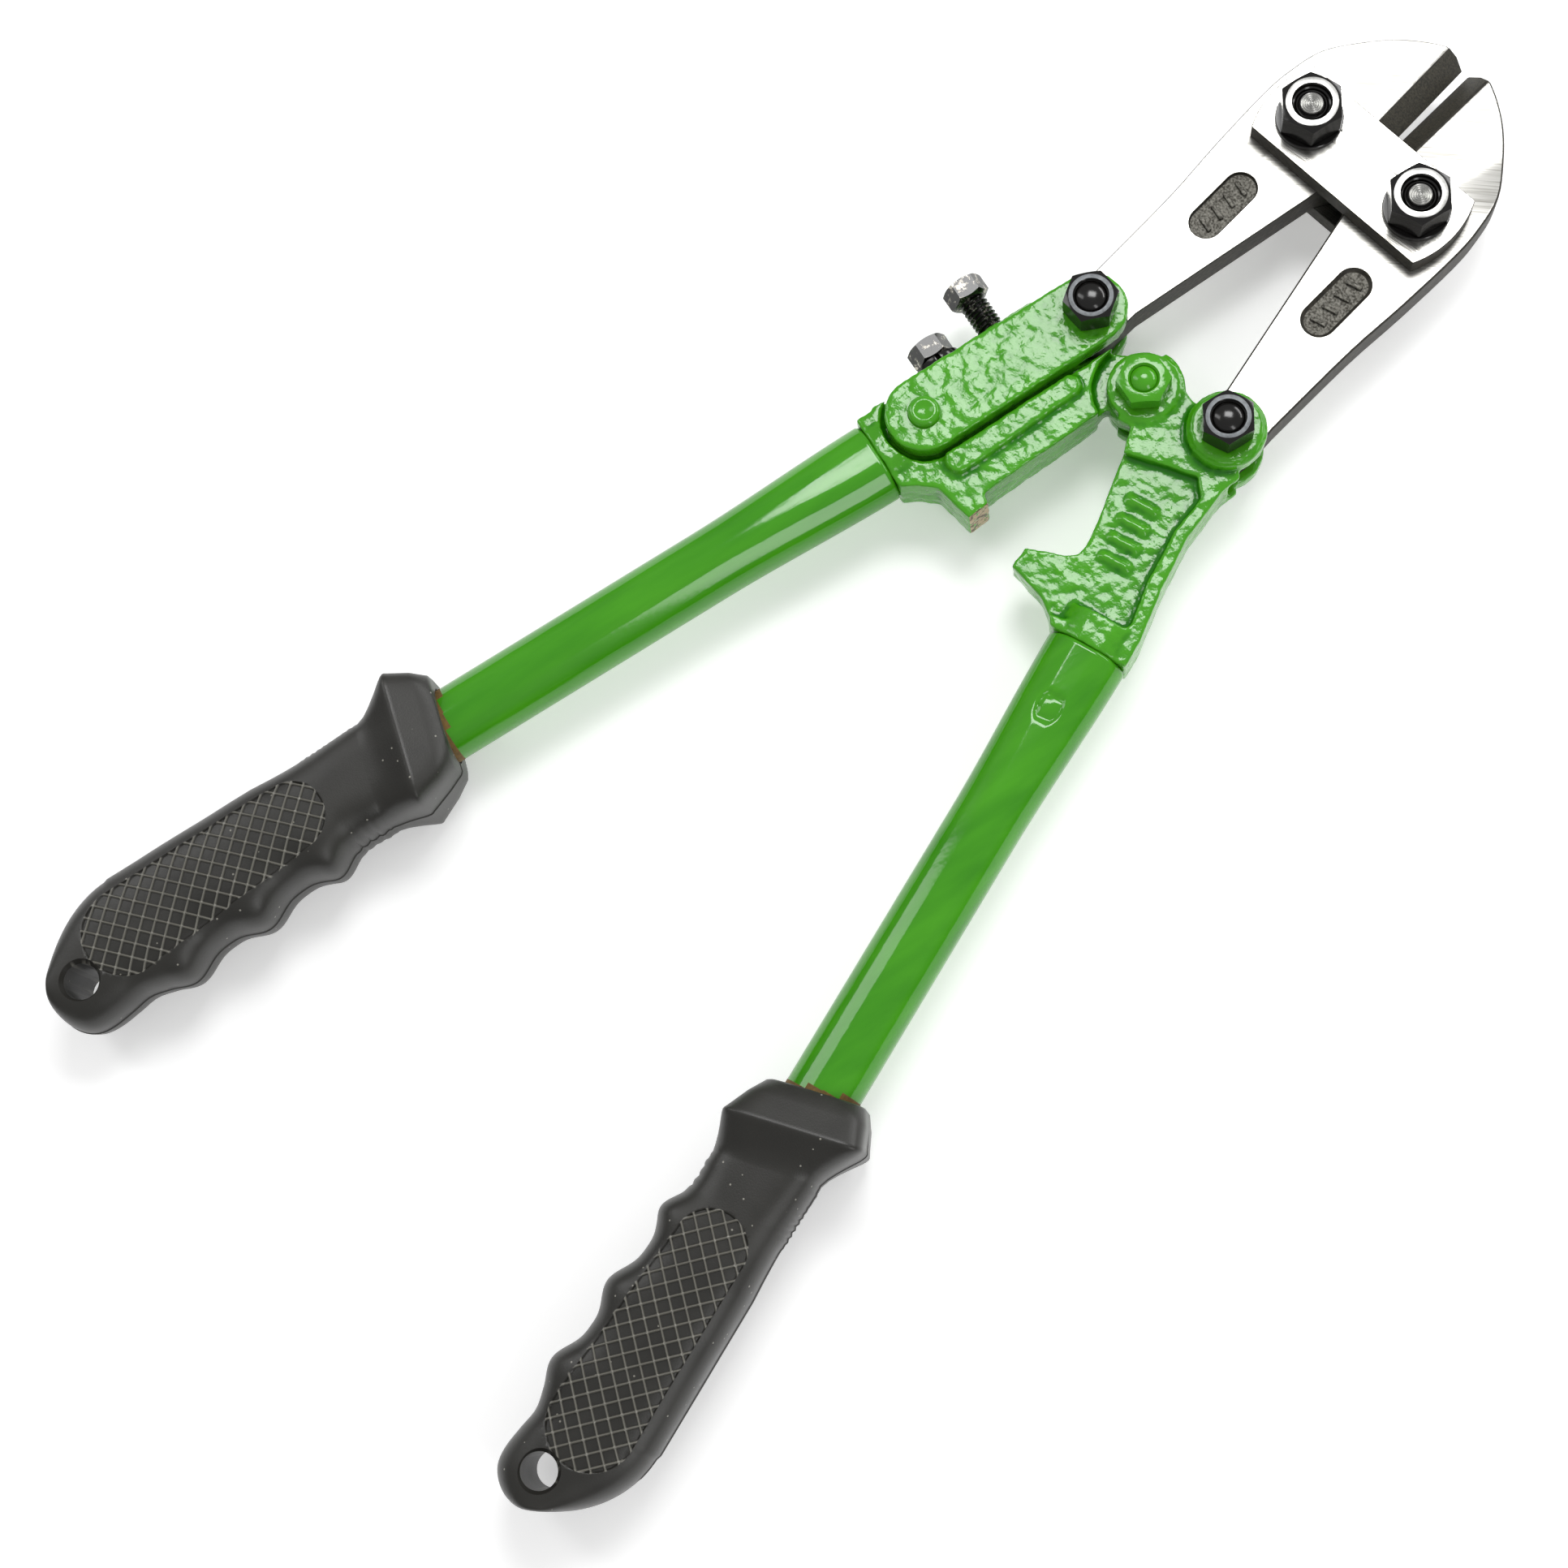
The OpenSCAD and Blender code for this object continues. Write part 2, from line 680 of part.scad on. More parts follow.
function finger_x(down) = -14.3 - 0.08 * (down - finger_first)
    - finger_h * cos(360 * (down - finger_first) / finger_pitch);
function grip_at(x, down) = [x, -tube_bare - down];

// Flat outline of the grip, drawn in by a margin
module grip_outline(margin) {
    far_r = 22.5;
    far_c = grip_at(side_x + 0.3 - far_r, hole_reach - 14);
    polygon(concat(
        [for (down = [finger_first - finger_pitch / 2 : 1.5 : hole_reach - 8])
            grip_at(finger_x(down) + margin, down)],
        [for (turn = [185 : 10 : 275]) hole + (grip_end_r - margin) * [cos(turn), sin(turn)]],
        [for (turn = [-62 : 6 : 0]) far_c + (far_r - margin) * [cos(turn), sin(turn)]],
        [grip_at(side_x - margin, finger_first - finger_pitch / 2), grip_at(side_x - margin, neck_at),
         grip_at(-11.9 + margin, neck_at)]));
}

module grip() {
    bottom = -tube_bare - tube_in_grip;
    difference() {
        union() {
            at(collar) rotate(handle_angle) {
                slab(-7, 7) grip_outline(0);
                slab(-9.6, 9.6) grip_outline(1.3);
                slab(-grip_z, grip_z) grip_outline(3);
            }
            // flange, square to the tool's length
            hull() {
                at(in_handle(0, -tube_bare - 0.6)) rotate([90, 0, 0])
                    linear_extrude(0.1) square([20.6, 19], center = true);
                at(in_handle(-0.3, -tube_bare - 8.4)) rotate([90, 0, 0])
                    linear_extrude(0.1) square([2 * flange_w, 2 * flange_z], center = true);
            }
            hull() {
                at(in_handle(-0.3, -tube_bare - 8.4)) rotate([90, 0, 0])
                    linear_extrude(0.1) square([2 * flange_w, 2 * flange_z], center = true);
                at(in_handle(-1.7, -tube_bare - 17.5)) rotate([90, 0, 0])
                    linear_extrude(0.1) square([20.4, 19], center = true);
            }
        }
        along_handle(bottom, far) circle(tube_d / 2);
        at(in_handle(hole.x, hole.y)) translate([0, 0, -far]) cylinder(r = hang_hole_d / 2, h = 2 * far);
    }
}

module grip_a() {
    color(rubber) half_a() grip();
}

module grip_b() {
    color(rubber) half_b() grip();
}

front_plate();
rear_plate();
jaw_bolt_a();
jaw_bolt_b();
jaw_nut_a();
jaw_nut_b();
jaw_washer_a();
jaw_washer_b();
jaw_a();
jaw_b();
casting_a();
casting_b();
adjusting_link();
link_rivet();
tail_bolt_a();
tail_bolt_b();
tail_nut_a();
tail_nut_b();
adjusting_screw();
lock_bolt();
lock_washer();
spring_washer();
pivot_bolt();
pivot_nut();
tube_a();
tube_b();
grip_a();
grip_b();
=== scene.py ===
"""Finished pieces of a pair of hand bolt cutters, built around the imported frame.

Shapes are worked out in millimetres along the frame's own axes, and a piece is scaled to metres when it is
finished. Handle shapes are drawn for handle b, which lies at +X, and mirrored for handle a.
"""

import json
import math

import bmesh
import bpy
from bpy.props import FloatProperty, FloatVectorProperty, PointerProperty
from mathutils import Matrix, Vector, noise


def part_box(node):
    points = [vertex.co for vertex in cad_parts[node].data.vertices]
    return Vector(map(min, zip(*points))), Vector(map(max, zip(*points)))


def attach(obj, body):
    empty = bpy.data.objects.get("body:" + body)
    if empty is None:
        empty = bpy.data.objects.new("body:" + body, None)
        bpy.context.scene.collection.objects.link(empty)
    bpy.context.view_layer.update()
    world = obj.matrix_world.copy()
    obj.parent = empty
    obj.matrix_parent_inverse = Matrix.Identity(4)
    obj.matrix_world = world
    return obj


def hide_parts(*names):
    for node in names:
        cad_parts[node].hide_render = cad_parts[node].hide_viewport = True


bl_info = {
    "name": "Bolt cutters",
    "version": (1, 0, 0),
    "blender": (4, 5, 0),
    "location": "3D View > Sidebar > Bolt cutters",
    "description": "Builds the finished pieces of a pair of hand bolt cutters around their frame",
    "category": "Object",
}

MM = 0.001
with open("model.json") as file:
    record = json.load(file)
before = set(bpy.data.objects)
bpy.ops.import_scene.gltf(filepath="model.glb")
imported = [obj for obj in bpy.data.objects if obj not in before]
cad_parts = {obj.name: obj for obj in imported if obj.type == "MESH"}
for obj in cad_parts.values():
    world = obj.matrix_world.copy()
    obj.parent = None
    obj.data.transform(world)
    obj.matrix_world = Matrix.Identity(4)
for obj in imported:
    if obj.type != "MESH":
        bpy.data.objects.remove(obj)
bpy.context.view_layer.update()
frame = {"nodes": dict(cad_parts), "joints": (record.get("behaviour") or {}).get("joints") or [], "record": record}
JOINTS = {joint["name"]: joint for joint in frame["joints"]}
BODY_OF = {n: body for body, nodes in frame["record"]["behaviour"]["bodies"].items() for n in nodes}
MIRROR = Matrix.Diagonal((-1, 1, 1, 1))


def linear(hex_colour):
    """An sRGB hex value as a linear colour."""
    srgb = [int(hex_colour[i : i + 2], 16) / 255 for i in (1, 3, 5)]
    return (*[c / 12.92 if c <= 0.04045 else ((c + 0.055) / 1.055) ** 2.4 for c in srgb], 1.0)


def colour(name, description, value):
    return FloatVectorProperty(
        name=name, description=description, subtype="COLOR", size=4, min=0, max=1, default=linear(value)
    )


def length(name, description, value):
    """A length that is given in millimetres and kept in metres, as the sidebar shows it."""
    return FloatProperty(
        name=name, description=description, default=value * MM, min=0, precision=5, subtype="DISTANCE",
        unit="LENGTH",
    )


class CutterColours(bpy.types.PropertyGroup):
    enamel: colour("Enamel", "Green enamel of the castings and tubes", "#489E18")
    # Dark enamel: a random darker tone, and painted shade in the hollows of the castings and the link
    enamel_dark_and_shade: colour("Dark enamel and painted shade", "Darker enamel tone, and painted shade in hollows", "#1F7204")
    ground: colour("Ground steel", "Ground faces of the jaws and head plates", "#C4C3BF")
    forged: colour("Forged steel", "Dark sides of the jaws and plates", "#3E3A31")
    hardened: colour("Hardened edge", "Tempered cutting bevels", "#4E4A3E")
    oxide: colour("Black oxide", "Nuts, bolts and screws", "#0F0E0D")
    bare: colour("Worn metal", "Metal where the paint has gone", "#B9A184")
    grip: colour("Grip", "Soft PVC of the grips", "#2E2D29")


class CutterSizes(bpy.types.PropertyGroup):
    voxel: length("Casting grain", "Size of the cells that round the castings", 0.42)
    lump: length("Lump size", "Width of a lump in the cast surface", 2.6)
    lump_depth: length("Lump depth", "Depth of the hollows between lumps", 0.2)
    oval_w: length("Oval width", "Width of a tube's flattened end", 17.6)
    oval_t: length("Oval thickness", "Thickness of a tube's flattened end", 14.0)
    oval_len: length("Oval length", "Length over which a tube turns round", 42.0)
    tube_wall: length("Tube wall", "Wall of the tubes", 1.4)
    thread_pitch: length("Thread pitch", "Pitch of the adjusting screw and the lock bolt", 1.0)
    hatch_pitch: length("Hatch pitch", "Distance between ribs on the grips", 2.8)
    rib_h: length("Rib height", "Height of a rib over the panel's floor", 0.55)
    finger_pitch: length("Finger pitch", "Distance between finger ridges", 18.5)


def colours():
    return bpy.context.scene.cutter_colours


def size(name):
    """A size from the sidebar, in millimetres."""
    return getattr(bpy.context.scene.cutter_sizes, name) / MM


# ---- places taken from the frame, in millimetres ----


def joint_place(name):
    return Vector(JOINTS[name]["pos_m"]) / MM


def box(node):
    low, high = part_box(node)
    return low / MM, high / MM


def middle(node):
    low, high = box(node)
    return (low + high) / 2


MID_Z = middle("jaw_b").z
CENTRE = Vector((0, middle("pivot_bolt").y, MID_Z))
TAIL = joint_place("handle_b_pivot")
JAW_PIVOT = joint_place("jaw_b_pivot")
RIVET = joint_place("link_adjustment")


def handle_axes():
    """Matrix of handle b: origin on the tube's axis at its upper end, x outward, y towards the head, z up."""
    mesh = frame["nodes"]["tube_b"].data
    points = [v.co / MM for v in mesh.vertices]
    runs = [points[e.vertices[1]] - points[e.vertices[0]] for e in mesh.edges]
    along = min((r for r in runs if r.length > 100), key=lambda r: r.length).normalized()
    along = along if along.y > 0 else -along
    out = Vector((along.y, -along.x, 0))
    across = [p.dot(out) for p in points]
    origin = out * ((min(across) + max(across)) / 2) + along * max(p.dot(along) for p in points)
    origin.z = middle("tube_b").z
    return Matrix((out, along, Vector((0, 0, 1)))).transposed().to_4x4(), origin


HANDLE_TURN, COLLAR = handle_axes()
HANDLE = Matrix.Translation(COLLAR) @ HANDLE_TURN
HANDLE_SLOPE = HANDLE_TURN[0][1] / HANDLE_TURN[1][1]
TUBE_LENGTH = 183.5
TUBE_RADIUS = (box("tube_b")[1].z - box("tube_b")[0].z) / 2


def axis_matrix(joint):
    """Matrix whose Z runs along a joint's axis, from the joint's place."""
    turn = Vector(JOINTS[joint]["axis"]).to_track_quat("Z", "X").to_matrix().to_4x4()
    return Matrix.Translation(joint_place(joint)) @ turn


# ---- mesh helpers ----


def skin(columns, rows, place):
    """A grid whose points go where place(column, row) says. Columns close round, and points that meet merge."""
    bm = bmesh.new()
    bmesh.ops.create_grid(bm, x_segments=columns, y_segments=rows, size=0.5)
    for vert in bm.verts:
        column = round((vert.co.x + 0.5) * columns) % columns
        vert.co = place(column, round((vert.co.y + 0.5) * rows))
    bmesh.ops.remove_doubles(bm, verts=bm.verts, dist=1e-4)
    return bm


CHAMFER_START = 0.475  # of the width across flats
CHAMFER_SLOPE = 0.6


def turned(rows, across=0.0, steps=96):
    """Skin turned about Z through rows of (radius, height). A row of (None, height, fall) follows a hexagon, and
    its height falls away at the corners as a chamfer does."""

    def place(column, row):
        angle = 2 * math.pi * column / steps
        radius, height, *fall = rows[row]
        if radius is None:
            radius = across / 2 / math.cos((angle + math.pi / 6) % (math.pi / 3) - math.pi / 6)
            height -= fall[0] * max(0, radius - CHAMFER_START * across) * CHAMFER_SLOPE
        return Vector((radius * math.cos(angle), radius * math.sin(angle), height))

    return skin(steps, len(rows) - 1, place)


def sharp_edges(bm, degrees):
    return [
        e for e in bm.edges if len(e.link_faces) == 2 and e.calc_face_angle(0) > math.radians(degrees)
    ]


def rounded(bm, offset, degrees=40, segments=2):
    bmesh.ops.bevel(
        bm,
        geom=sharp_edges(bm, degrees),
        offset=offset,
        segments=segments,
        profile=0.5,
        affect="EDGES",
        material=-1,
        clamp_overlap=True,
    )


def copy_of(node):
    """A CAD node's shape in millimetres, with its loose triangles joined."""
    bm = bmesh.new()
    bm.from_mesh(frame["nodes"][node].data)
    bmesh.ops.scale(bm, vec=(1 / MM,) * 3, verts=bm.verts)
    bmesh.ops.remove_doubles(bm, verts=bm.verts, dist=1e-3)
    return bm


def bar(bm, centre, heading, lengths, bevel=0.0, material=0):
    """A raised bar with rounded edges, added to a mesh."""
    made = bmesh.ops.create_cube(bm, size=1.0)["verts"]
    bmesh.ops.scale(bm, vec=lengths, verts=made)
    if bevel:
        edges = {e for v in made for e in v.link_edges}
        made = bmesh.ops.bevel(bm, geom=list(edges), offset=bevel, segments=2, profile=0.5, affect="EDGES",
                               material=-1)["verts"]
    bmesh.ops.transform(bm, matrix=Matrix.Translation(centre) @ Matrix.Rotation(heading, 4, "Z"), verts=made)
    for face in {f for v in made for f in v.link_faces}:
        face.material_index = material


def edge_line(bm, width, dark):
    """Makes flat faces whole, and bevels the sharp edges between them in the material at an index."""
    bmesh.ops.dissolve_limit(bm, angle_limit=math.radians(0.5), verts=bm.verts, edges=bm.edges,
                             delimit={"MATERIAL"})
    made = bmesh.ops.bevel(bm, geom=sharp_edges(bm, 30), offset=width, segments=2, profile=0.5,
                           affect="EDGES", material=-1, clamp_overlap=True)
    for face in made["faces"]:
        face.material_index = dark


def to_object(name, bm):
    """An object in metres from a mesh in millimetres."""
    bmesh.ops.scale(bm, vec=(MM,) * 3, verts=bm.verts)
    mesh = bpy.data.meshes.new(name)
    bm.to_mesh(mesh)
    bm.free()
    made = bpy.data.objects.new(name, mesh)
    bpy.context.scene.collection.objects.link(made)
    return made


def baked(made):
    """Replaces an object's mesh by what its modifiers make of it."""
    depsgraph = bpy.context.evaluated_depsgraph_get()
    mesh = bpy.data.meshes.new_from_object(made.evaluated_get(depsgraph))
    made.modifiers.clear()
    made.data = mesh
    return mesh


def settle(made, node, materials, crease=35.0):
    """Gives a piece its materials and body, and hides the CAD node that it stands for."""
    mesh = made.data
    for material in materials:
        mesh.materials.append(material)
    mesh.shade_smooth()
    mesh.set_sharp_from_angle(angle=math.radians(crease))
    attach(made, BODY_OF[node])
    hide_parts(node)
    return made


def finish(node, bm, materials, matrix=None, crease=35.0):
    """Puts a mesh in place and makes it the piece that stands for a CAD node."""
    if matrix is not None:
        bmesh.ops.transform(bm, matrix=matrix, verts=bm.verts)
    bmesh.ops.recalc_face_normals(bm, faces=bm.faces)
    return settle(to_object(node + "_finished", bm), node, materials, crease)


# ---- materials ----


def per(mm):
    """Texture scale whose features are about this many millimetres across."""
    return 1 / (mm * MM)


def add(material, kind, settings=None, inputs=None):
    """Adds a node with its own settings, and fills its inputs with values or with other nodes' outputs."""
    node = material.node_tree.nodes.new("ShaderNode" + kind)
    for name, value in (settings or {}).items():
        setattr(node, name, value)
    for name, value in (inputs or {}).items():
        if isinstance(value, bpy.types.NodeSocket):
            material.node_tree.links.new(value, node.inputs[name])
        else:
            node.inputs[name].default_value = value
    return node


def begin(name):
    """A new material without nodes, and its object coordinates."""
    material = bpy.data.materials.new(name)
    material.use_nodes = True
    material.node_tree.nodes.clear()
    return material, add(material, "TexCoord").outputs["Object"]


def surface(material, inputs):
    shader = add(material, "BsdfPrincipled", {}, inputs)
    add(material, "OutputMaterial", {}, {"Surface": shader.outputs["BSDF"]})
    return material


MIX = {"data_type": "RGBA"}


def sand_cast_enamel():
    """Gloss enamel brushed thickly over a sand casting: wet highlights broken by lumps, painted shade in hollows.
    """
    material, place = begin("Gloss enamel on sand casting")
    tone = add(material, "TexNoise", {}, {"Vector": place, "Scale": per(7), "Detail": 3.0})
    # Painted shade: the hollowness stored by mark_hollows, added to a random tone, darkens the enamel in hollows
    painted_hollow_shade = add(material, "Attribute", {"attribute_name": "painted_hollow_shade"})
    depth = add(material, "Math", {"operation": "MULTIPLY_ADD"},
                {0: tone.outputs[0], 1: 0.45, 2: painted_hollow_shade.outputs["Fac"]})
    thick = add(material, "MapRange", {}, {"Value": depth.outputs[0], "From Min": 0.15, "From Max": 0.8})
    paint = add(material, "Mix", MIX, {0: thick.outputs[0], 6: colours().enamel, 7: colours().enamel_dark_and_shade})
    peel = add(material, "TexNoise", {}, {"Vector": place, "Scale": per(1.5), "Detail": 2.0})
    pits = add(material, "TexNoise", {}, {"Vector": place, "Scale": per(0.5), "Detail": 1.0})
    relief = add(material, "Bump", {}, {"Height": peel.outputs[0], "Strength": 0.38, "Distance": 0.28 * MM})
    relief = add(material, "Bump", {}, {"Height": pits.outputs[0], "Strength": 0.1, "Distance": 0.08 * MM,
                                        "Normal": relief.outputs[0]})
    gloss = add(material, "MapRange", {}, {"Value": tone.outputs[0], "To Min": 0.1, "To Max": 0.2})
    return surface(material, {"Base Color": paint.outputs[2], "Roughness": gloss.outputs[0],
                              "Normal": relief.outputs[0]})


def drawn_tube_enamel():
    """Gloss enamel dipped over drawn tube: long clean reflections with faint runs along the tube."""
    material, place = begin("Gloss enamel on drawn tube")
    turn = (0, 0, -math.atan(HANDLE_SLOPE))
    turned_place = add(material, "Mapping", {}, {"Vector": place, "Rotation": turn})
    drawn = add(material, "Mapping", {}, {"Vector": turned_place.outputs[0], "Scale": (1, 0.16, 1)})
    tone = add(material, "TexNoise", {}, {"Vector": drawn.outputs[0], "Scale": per(5), "Detail": 4.0})
    # Random darker tone along the tube; the painted hollow shade is set only on the castings and the link
    painted_hollow_shade = add(material, "Attribute", {"attribute_name": "painted_hollow_shade"})
    depth = add(material, "Math", {"operation": "MULTIPLY_ADD"},
                {0: tone.outputs[0], 1: 0.8, 2: painted_hollow_shade.outputs["Fac"]})
    thick = add(material, "MapRange", {}, {"Value": depth.outputs[0], "From Min": 0.2, "From Max": 0.9})
    paint = add(material, "Mix", MIX, {0: thick.outputs[0], 6: colours().enamel, 7: colours().enamel_dark_and_shade})
    dust = add(material, "TexNoise", {}, {"Vector": place, "Scale": per(0.9), "Detail": 1.0})
    relief = add(material, "Bump", {}, {"Height": tone.outputs[0], "Strength": 0.25, "Distance": 0.25 * MM})
    relief = add(material, "Bump", {}, {"Height": dust.outputs[0], "Strength": 0.05, "Distance": 0.1 * MM,
                                        "Normal": relief.outputs[0]})
    return surface(material, {"Base Color": paint.outputs[2], "Roughness": 0.09, "Normal": relief.outputs[0]})


def ground_steel(name, heading, gloss):
    """Surface-ground tool steel: bright satin with fine scratches along the way it was ground."""
    material, place = begin(name)
    across = add(material, "Mapping", {}, {"Vector": place, "Rotation": (0, 0, -heading)})
    grain = add(material, "Mapping", {}, {"Vector": across.outputs[0], "Scale": (0.03, 1, 1)})
    scratch = add(material, "TexNoise", {}, {"Vector": grain.outputs[0], "Scale": per(0.35), "Detail": 3.0})
    blotch = add(material, "TexNoise", {}, {"Vector": place, "Scale": per(9), "Detail": 3.0})
    rough = add(material, "MapRange", {}, {"Value": blotch.outputs[0], "To Min": gloss, "To Max": gloss + 0.14})
    relief = add(material, "Bump", {}, {"Height": scratch.outputs[0], "Strength": 0.3, "Distance": 0.02 * MM})
    tint = add(material, "MapRange", {}, {"Value": scratch.outputs[0], "From Min": 0.4, "From Max": 0.75})
    shade = add(material, "Mix", MIX, {0: tint.outputs[0], 6: colours().ground, 7: linear("#8F8D86")})
    return surface(material, {"Base Color": shade.outputs[2], "Metallic": 1.0, "Roughness": rough.outputs[0],
                              "Normal": relief.outputs[0]})


def forged_scale():
    """Forging scale left on sawn and forged sides: dark brown-black, rough and uneven."""
    material, place = begin("Forging scale")
    mottle = add(material, "TexNoise", {}, {"Vector": place, "Scale": per(1.2), "Detail": 5.0})
    mask = add(material, "MapRange", {}, {"Value": mottle.outputs[0], "From Min": 0.42, "From Max": 0.75})
    shade = add(material, "Mix", MIX, {0: mask.outputs[0], 6: linear("#26241E"), 7: colours().forged})
    relief = add(material, "Bump", {}, {"Height": mottle.outputs[0], "Strength": 0.6, "Distance": 0.15 * MM})
    return surface(material, {"Base Color": shade.outputs[2], "Metallic": 0.3, "Roughness": 0.55,
                              "Normal": relief.outputs[0]})


def hardened_edge():
    """Hardened and tempered cutting bevel: straw-grey oxide with grinding lines square to the edge."""
    material, place = begin("Hardened cutting edge")
    lines = add(material, "Mapping", {}, {"Vector": place, "Scale": (0.05, 1, 1), "Rotation": (0, 0, 0.5)})
    scratch = add(material, "TexNoise", {}, {"Vector": lines.outputs[0], "Scale": per(0.3), "Detail": 4.0})
    mask = add(material, "MapRange", {}, {"Value": scratch.outputs[0], "From Min": 0.35, "From Max": 0.8})
    shade = add(material, "Mix", MIX, {0: mask.outputs[0], 6: linear("#2B2A25"), 7: colours().hardened})
    relief = add(material, "Bump", {}, {"Height": scratch.outputs[0], "Strength": 0.3, "Distance": 0.03 * MM})
    return surface(material, {"Base Color": shade.outputs[2], "Metallic": 0.4, "Roughness": 0.5,
                              "Normal": relief.outputs[0]})


def pocket_floor():
    """Floor of a sunk pocket, left rough from the forging die: mottled grey."""
    material, place = begin("Die-sunk floor")
    mottle = add(material, "TexNoise", {}, {"Vector": place, "Scale": per(0.5), "Detail": 3.0})
    mask = add(material, "MapRange", {}, {"Value": mottle.outputs[0], "From Min": 0.35, "From Max": 0.8})
    shade = add(material, "Mix", MIX, {0: mask.outputs[0], 6: linear("#35332D"), 7: linear("#8C8A82")})
    relief = add(material, "Bump", {}, {"Height": mottle.outputs[0], "Strength": 0.8, "Distance": 0.2 * MM})
    return surface(material, {"Base Color": shade.outputs[2], "Metallic": 0.7, "Roughness": 0.5,
                              "Normal": relief.outputs[0]})


def black_oxide(name, worn):
    """Oiled black oxide on bolts: near black with a soft gloss, worn bright where tools have touched."""
    material, place = begin(name)
    wear_and_rib_highlight = add(material, "TexNoise", {}, {"Vector": place, "Scale": per(2.2), "Detail": 5.0, "Roughness": 0.7})
    mask = add(material, "MapRange", {},
               {"Value": wear_and_rib_highlight.outputs[0], "From Min": 0.72 - worn, "From Max": 0.82 - worn})
    shade = add(material, "Mix", MIX, {0: mask.outputs[0], 6: colours().oxide, 7: linear("#B7B2A8")})
    rough = add(material, "MapRange", {}, {"Value": mask.outputs[0], "To Min": 0.17, "To Max": 0.34})
    relief = add(material, "Bump", {}, {"Height": wear_and_rib_highlight.outputs[0], "Strength": 0.15, "Distance": 0.05 * MM})
    return surface(material, {"Base Color": shade.outputs[2], "Metallic": mask.outputs[0],
                              "Roughness": rough.outputs[0], "Normal": relief.outputs[0]})


def faced_steel():
    """Steel faced in a lathe: bright, with fine rings that catch the light."""
    material, place = begin("Faced steel")
    fleck = add(material, "TexNoise", {}, {"Vector": place, "Scale": per(0.6), "Detail": 3.0})
    shade = add(material, "Mix", MIX, {0: fleck.outputs[0], 6: linear("#9C9C99"), 7: linear("#D8D8D5")})
    relief = add(material, "Bump", {}, {"Height": fleck.outputs[0], "Strength": 0.2, "Distance": 0.03 * MM})
    return surface(material, {"Base Color": shade.outputs[2], "Metallic": 1.0, "Roughness": 0.36,
                              "Normal": relief.outputs[0]})


def phosphate():
    """Grey phosphate coating on the tail nuts' faces, dull and slightly mottled."""
    material, place = begin("Grey phosphated steel")
    mottle = add(material, "TexNoise", {}, {"Vector": place, "Scale": per(0.8), "Detail": 4.0})
    shade = add(material, "Mix", MIX, {0: mottle.outputs[0], 6: linear("#3F4245"), 7: linear("#8D9194")})
    relief = add(material, "Bump", {}, {"Height": mottle.outputs[0], "Strength": 0.4, "Distance": 0.06 * MM})
    return surface(material, {"Base Color": shade.outputs[2], "Metallic": 0.35, "Roughness": 0.48,
                              "Normal": relief.outputs[0]})


def worn_metal():
    """Metal bared where the handle stops meet: warm bright steel with paint left in the hollows."""
    material, place = begin("Bared stop face")
    chip = add(material, "TexNoise", {}, {"Vector": place, "Scale": per(1.1), "Detail": 5.0})
    mask = add(material, "MapRange", {}, {"Value": chip.outputs[0], "From Min": 0.5, "From Max": 0.58})
    shade = add(material, "Mix", MIX, {0: mask.outputs[0], 6: colours().bare, 7: linear("#5A4630")})
    return surface(material, {"Base Color": shade.outputs[2], "Metallic": 0.6, "Roughness": 0.4})


def moulded_pvc():
    """Soft PVC moulded in a spark-eroded die: charcoal, matt, with a fine grain and specks of dust."""
    material, place = begin("Moulded soft PVC")
    cloud = add(material, "TexNoise", {}, {"Vector": place, "Scale": per(11), "Detail": 4.0})
    grain = add(material, "TexNoise", {}, {"Vector": place, "Scale": per(0.35), "Detail": 2.0})
    speck = add(material, "TexVoronoi", {}, {"Vector": place, "Scale": per(3.2), "Randomness": 1.0})
    dust = add(material, "MapRange", {},
               {"Value": speck.outputs["Distance"], "From Min": 0.075, "From Max": 0.055})
    base = add(material, "Mix", MIX, {0: cloud.outputs[0], 6: linear("#1B1A17"), 7: colours().grip})
    # Painted highlight: the crests of the hatched ribs are lightened to pale grey, where light catches them
    wear_and_rib_highlight = add(material, "Attribute", {"attribute_name": "wear_and_rib_highlight"})
    rib_highlight = add(material, "Mix", MIX, {0: wear_and_rib_highlight.outputs["Fac"], 6: base.outputs[2], 7: linear("#85837B")})
    shade = add(material, "Mix", MIX, {0: dust.outputs[0], 6: rib_highlight.outputs[2], 7: linear("#8A887F")})
    rough = add(material, "MapRange", {}, {"Value": cloud.outputs[0], "To Min": 0.3, "To Max": 0.5})
    relief = add(material, "Bump", {}, {"Height": grain.outputs[0], "Strength": 0.35, "Distance": 0.06 * MM})
    return surface(material, {"Base Color": shade.outputs[2], "Roughness": rough.outputs[0],
                              "Sheen Weight": 0.12, "Sheen Roughness": 0.3, "Normal": relief.outputs[0]})


def pale_floor():
    """White painted studio floor, matt with a faint unevenness."""
    material, place = begin("Matt white floor")
    haze = add(material, "TexNoise", {}, {"Vector": place, "Scale": per(120), "Detail": 2.0})
    shade = add(material, "Mix", MIX, {0: haze.outputs[0], 6: linear("#F8F8F8"), 7: linear("#FBFBFB")})
    return surface(material, {"Base Color": shade.outputs[2], "Roughness": 0.9, "Specular IOR Level": 0.1,
                              "Emission Color": linear("#FFFFFF"), "Emission Strength": 0.3})


_made = {}


def shared(maker, *words):
    """A material that several pieces share, made when it is first asked for."""
    key = (maker.__name__, *words)
    if key not in _made:
        _made[key] = maker(*words)
    return _made[key]


# ---- castings and link ----

